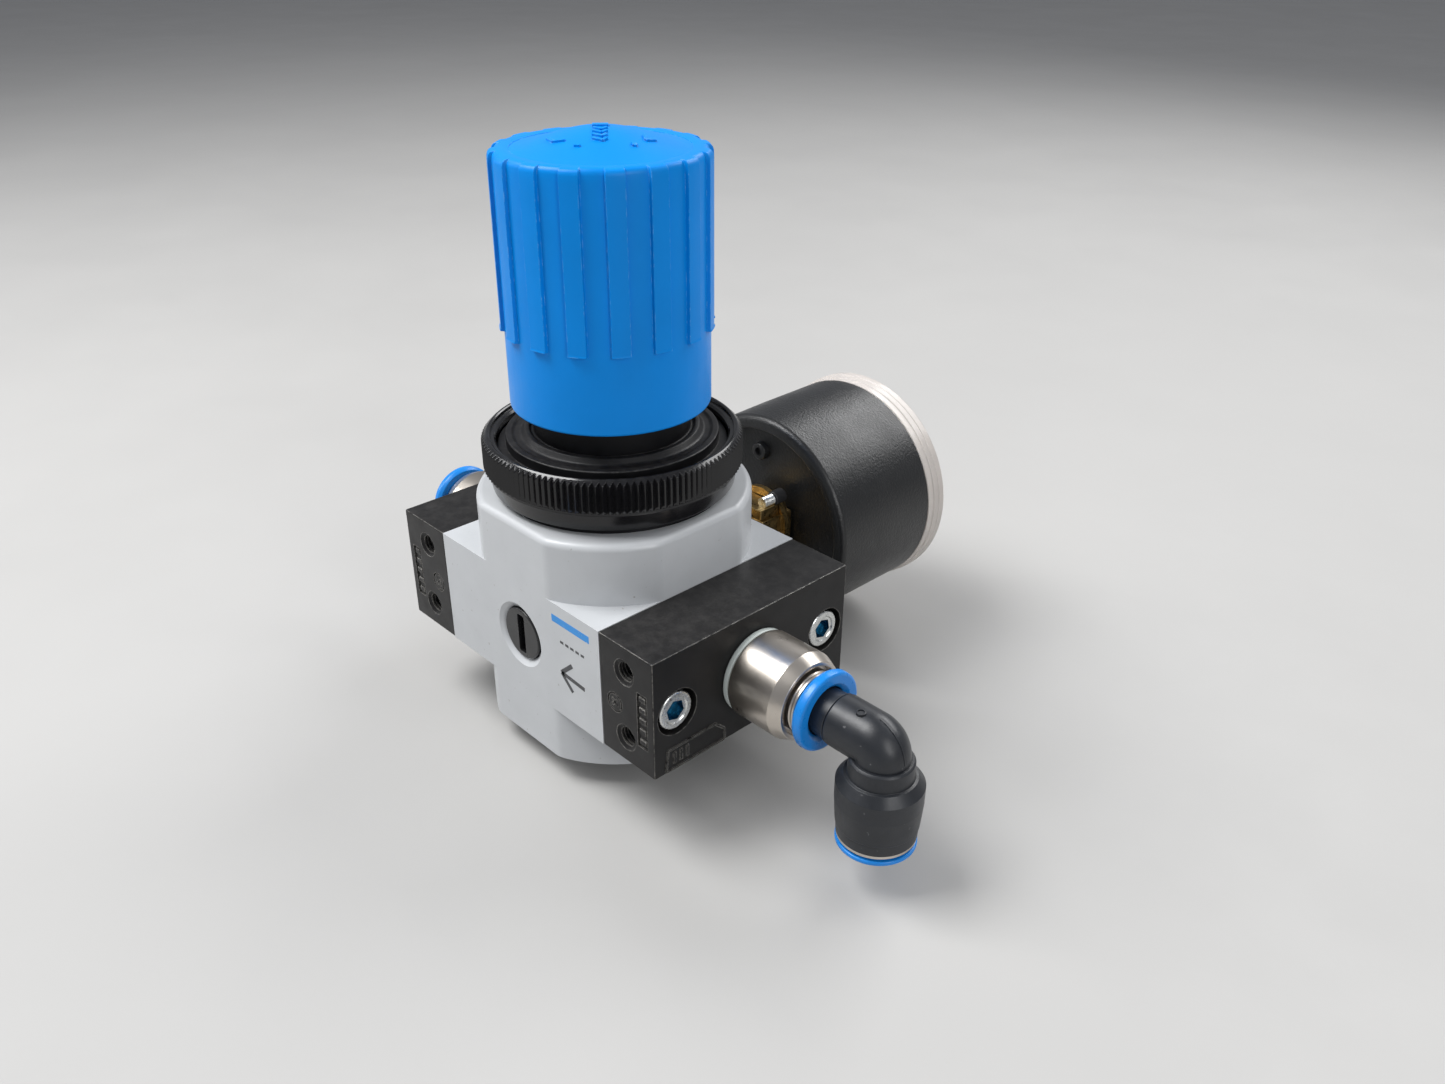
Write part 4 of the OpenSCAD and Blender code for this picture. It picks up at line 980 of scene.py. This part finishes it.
def gauge_pointer():
    outline = [(-7.0, -1.0), (0, -0.75), (18.6, -0.22), (19.6, 0), (18.6, 0.22), (0, 0.75), (-7.0, 1.0)]
    needle = prism(outline, 0.7, 1.1)
    needle.transform(Matrix.Rotation(math.radians(DIAL_START_DEG), 4, "Z"))
    hub = lathe(rounded([(0, 0.5), (2.4, 0.5), (2.4, 1.7, 0.4), (0, 1.9)]), 64)
    piece("pointer_needle", on_dial(joined(needle, hub)), "pointer", "pointer_black", "gauge_pointer")


def gauge_socket():
    """Brass socket: thread, square, the raised block on its top and the small screw beside the case."""
    back = CASE_LOW.y
    half = 7.25
    square = block((-half, back - 7.6, AXIS_Z - half), (half, back + 2.6, AXIS_Z + half - 1.6))
    square = bevelled(square, 0.4, segments=2)
    root_r, crest, half_pitch = 6.1, 0.35, 0.65
    ridges = [(root_r + crest * (i % 2), 27.5 + half_pitch * i) for i in range(16)]
    thread = [(root_r, 26)] + ridges + [(root_r, 38), (0, 38), (0, 26)]
    neck = turned(lathe(thread[::-1], 96), "y", (0, 0, AXIS_Z))
    flange = lathe(rounded([(0, back - 1), (8.6, back - 1), (8.6, back + 0.4, 0.3), (6, back + 3.4),
                            (0, back + 3.4)]), 96)
    flange = turned(flange, "y", (0, 0, GAUGE_Z))
    top = block((-6.6, back - 7.4, AXIS_Z + half - 3), (6.3, back - 1.2, AXIS_Z + half + 1.0))
    top = bevelled(top, 0.4, segments=2)
    piece("socket_brass", joined(square, neck, flange, top), "housing", "gauge_brass", "gauge_socket")
    stud_x, stud_z = 4.9, AXIS_Z + half + 2.1
    stud_r, groove, step = 1.35, 0.2, 0.28
    stud = [(0, 0)] + [(stud_r - groove * (i % 2), step * i) for i in range(14)] + [(0, step * 13)]
    stud = turned(lathe(stud, 40), "y", (stud_x, back - 5.6, stud_z))
    piece("socket_stud", stud, "housing", "zinc_steel")
    stopper = lathe(rounded([(0, 0), (1.75, 0, 0.3), (1.75, 3.4, 0.3), (0, 3.4)]), 48)
    stopper = turned(stopper, "y", (stud_x, back - 2.0, stud_z))
    piece("socket_stopper", stopper, "housing", "black_plastic")


# ---------------------------------------------------------------- bottom cap
def bottom_cap():
    """Black cap under the body, with eight grip notches."""
    radius = CAP_HIGH.x
    cap = lathe(rounded([(0, 0), (radius - 1.2, 0, 0.4), (radius, 1.2, 0.5), (radius, BODY_LOW.z - 0.4, 0.2),
                         (radius - 0.6, BODY_LOW.z), (0, BODY_LOW.z)]), 144)
    count, notch_r, reach = 8, 3, radius + 1.5
    notches = []
    for i in range(count):
        notch = lathe([(0, -1), (notch_r, -1), (notch_r, 7), (0, 7)], 40)
        angle = TAU * i / count
        notch.transform(Matrix.Translation((reach * math.cos(angle), reach * math.sin(angle), 0)))
        notches.append(notch)
    piece("bottom_cap_shell", combined(cap, joined(*notches)), "housing", "black_plastic", "bottom_cap")


# ---------------------------------------------------------------- what stays from the CAD
def dress_cad_nodes():
    """Gives every CAD node that is still shown the material of its slot."""
    slots = {entry["node"]: entry["material_slot"] for entry in frame["record"]["subparts"]}
    for name, node in frame["nodes"].items():
        node.data.materials.clear()
        node.data.materials.append(MATERIALS[slots[name]])


# ---------------------------------------------------------------- stage, light and camera
def floor():
    mesh = bpy.data.meshes.new("floor")
    half = 12.0
    corners = [(-half, -half, 0), (half, -half, 0), (half, half, 0), (-half, half, 0)]
    mesh.from_pydata(corners, [], [(0, 1, 2, 3)])
    ground = bpy.data.objects.new("floor", mesh)
    bpy.context.scene.collection.objects.link(ground)
    ground.data.materials.append(MATERIALS["floor"])


def area_light(name, position, target, size, power, color=(1, 1, 1)):
    light = bpy.data.lights.new(name, "AREA")
    light.shape = "RECTANGLE"
    light.size, light.size_y = size
    light.energy = power
    light.color = color
    holder = bpy.data.objects.new(name, light)
    bpy.context.scene.collection.objects.link(holder)
    holder.location = position
    aim = Vector(target) - Vector(position)
    holder.rotation_euler = aim.to_track_quat("-Z", "Y").to_euler()


def studio():
    """Cool dim room, one key light from the front left above and three weaker lights."""
    world = bpy.data.worlds.new("studio")
    bpy.context.scene.world = world
    world.use_nodes = True
    world.node_tree.nodes["Background"].inputs["Color"].default_value = (0.90, 0.93, 1.0, 1)
    world.node_tree.nodes["Background"].inputs["Strength"].default_value = 0.30
    bpy.context.scene.view_settings.view_transform = "Standard"
    aim = (0, 0, 0.06)
    area_light("key", (-0.30, -0.30, 0.75), aim, (0.50, 0.40), 8.6)
    area_light("back", (0.05, 0.70, 0.60), aim, (0.8, 0.3), 5.0)
    area_light("side", (0.70, -0.15, 0.40), aim, (0.25, 0.4), 2.0)
    area_light("left", (-0.75, -0.40, 0.40), aim, (0.12, 0.40), 1.0)


def camera():
    """The photo's view: from the front right and above."""
    azimuth, elevation, roll = (math.radians(a) for a in (46.07, 28.90, 0.34))
    position = Vector((188.4, -149.0, 176.8)) * MM
    lens = bpy.data.cameras.new("camera")
    lens.sensor_width = 36
    lens.lens = 30.55
    lens.clip_start = 0.01
    holder = bpy.data.objects.new("camera", lens)
    bpy.context.scene.collection.objects.link(holder)
    turn = (Matrix.Rotation(azimuth, 4, "Z") @ Matrix.Rotation(math.pi / 2 - elevation, 4, "X")
            @ Matrix.Rotation(roll, 4, "Z"))
    holder.matrix_world = Matrix.Translation(position) @ turn
    bpy.context.scene.camera = holder


dress_cad_nodes()
knob()
knob_cap()
ring_nut()
bonnet()
body_casting()
front_marks()
port_plug()
for side in (1, -1):
    port_plate(side)
    fitting(side)
    release_ring(side)
plate_screws()
washers()
elbow()
elbow_release()
gauge_case()
gauge_window()
gauge_dial()
gauge_pointer()
gauge_socket()
bottom_cap()
floor()
studio()
camera()
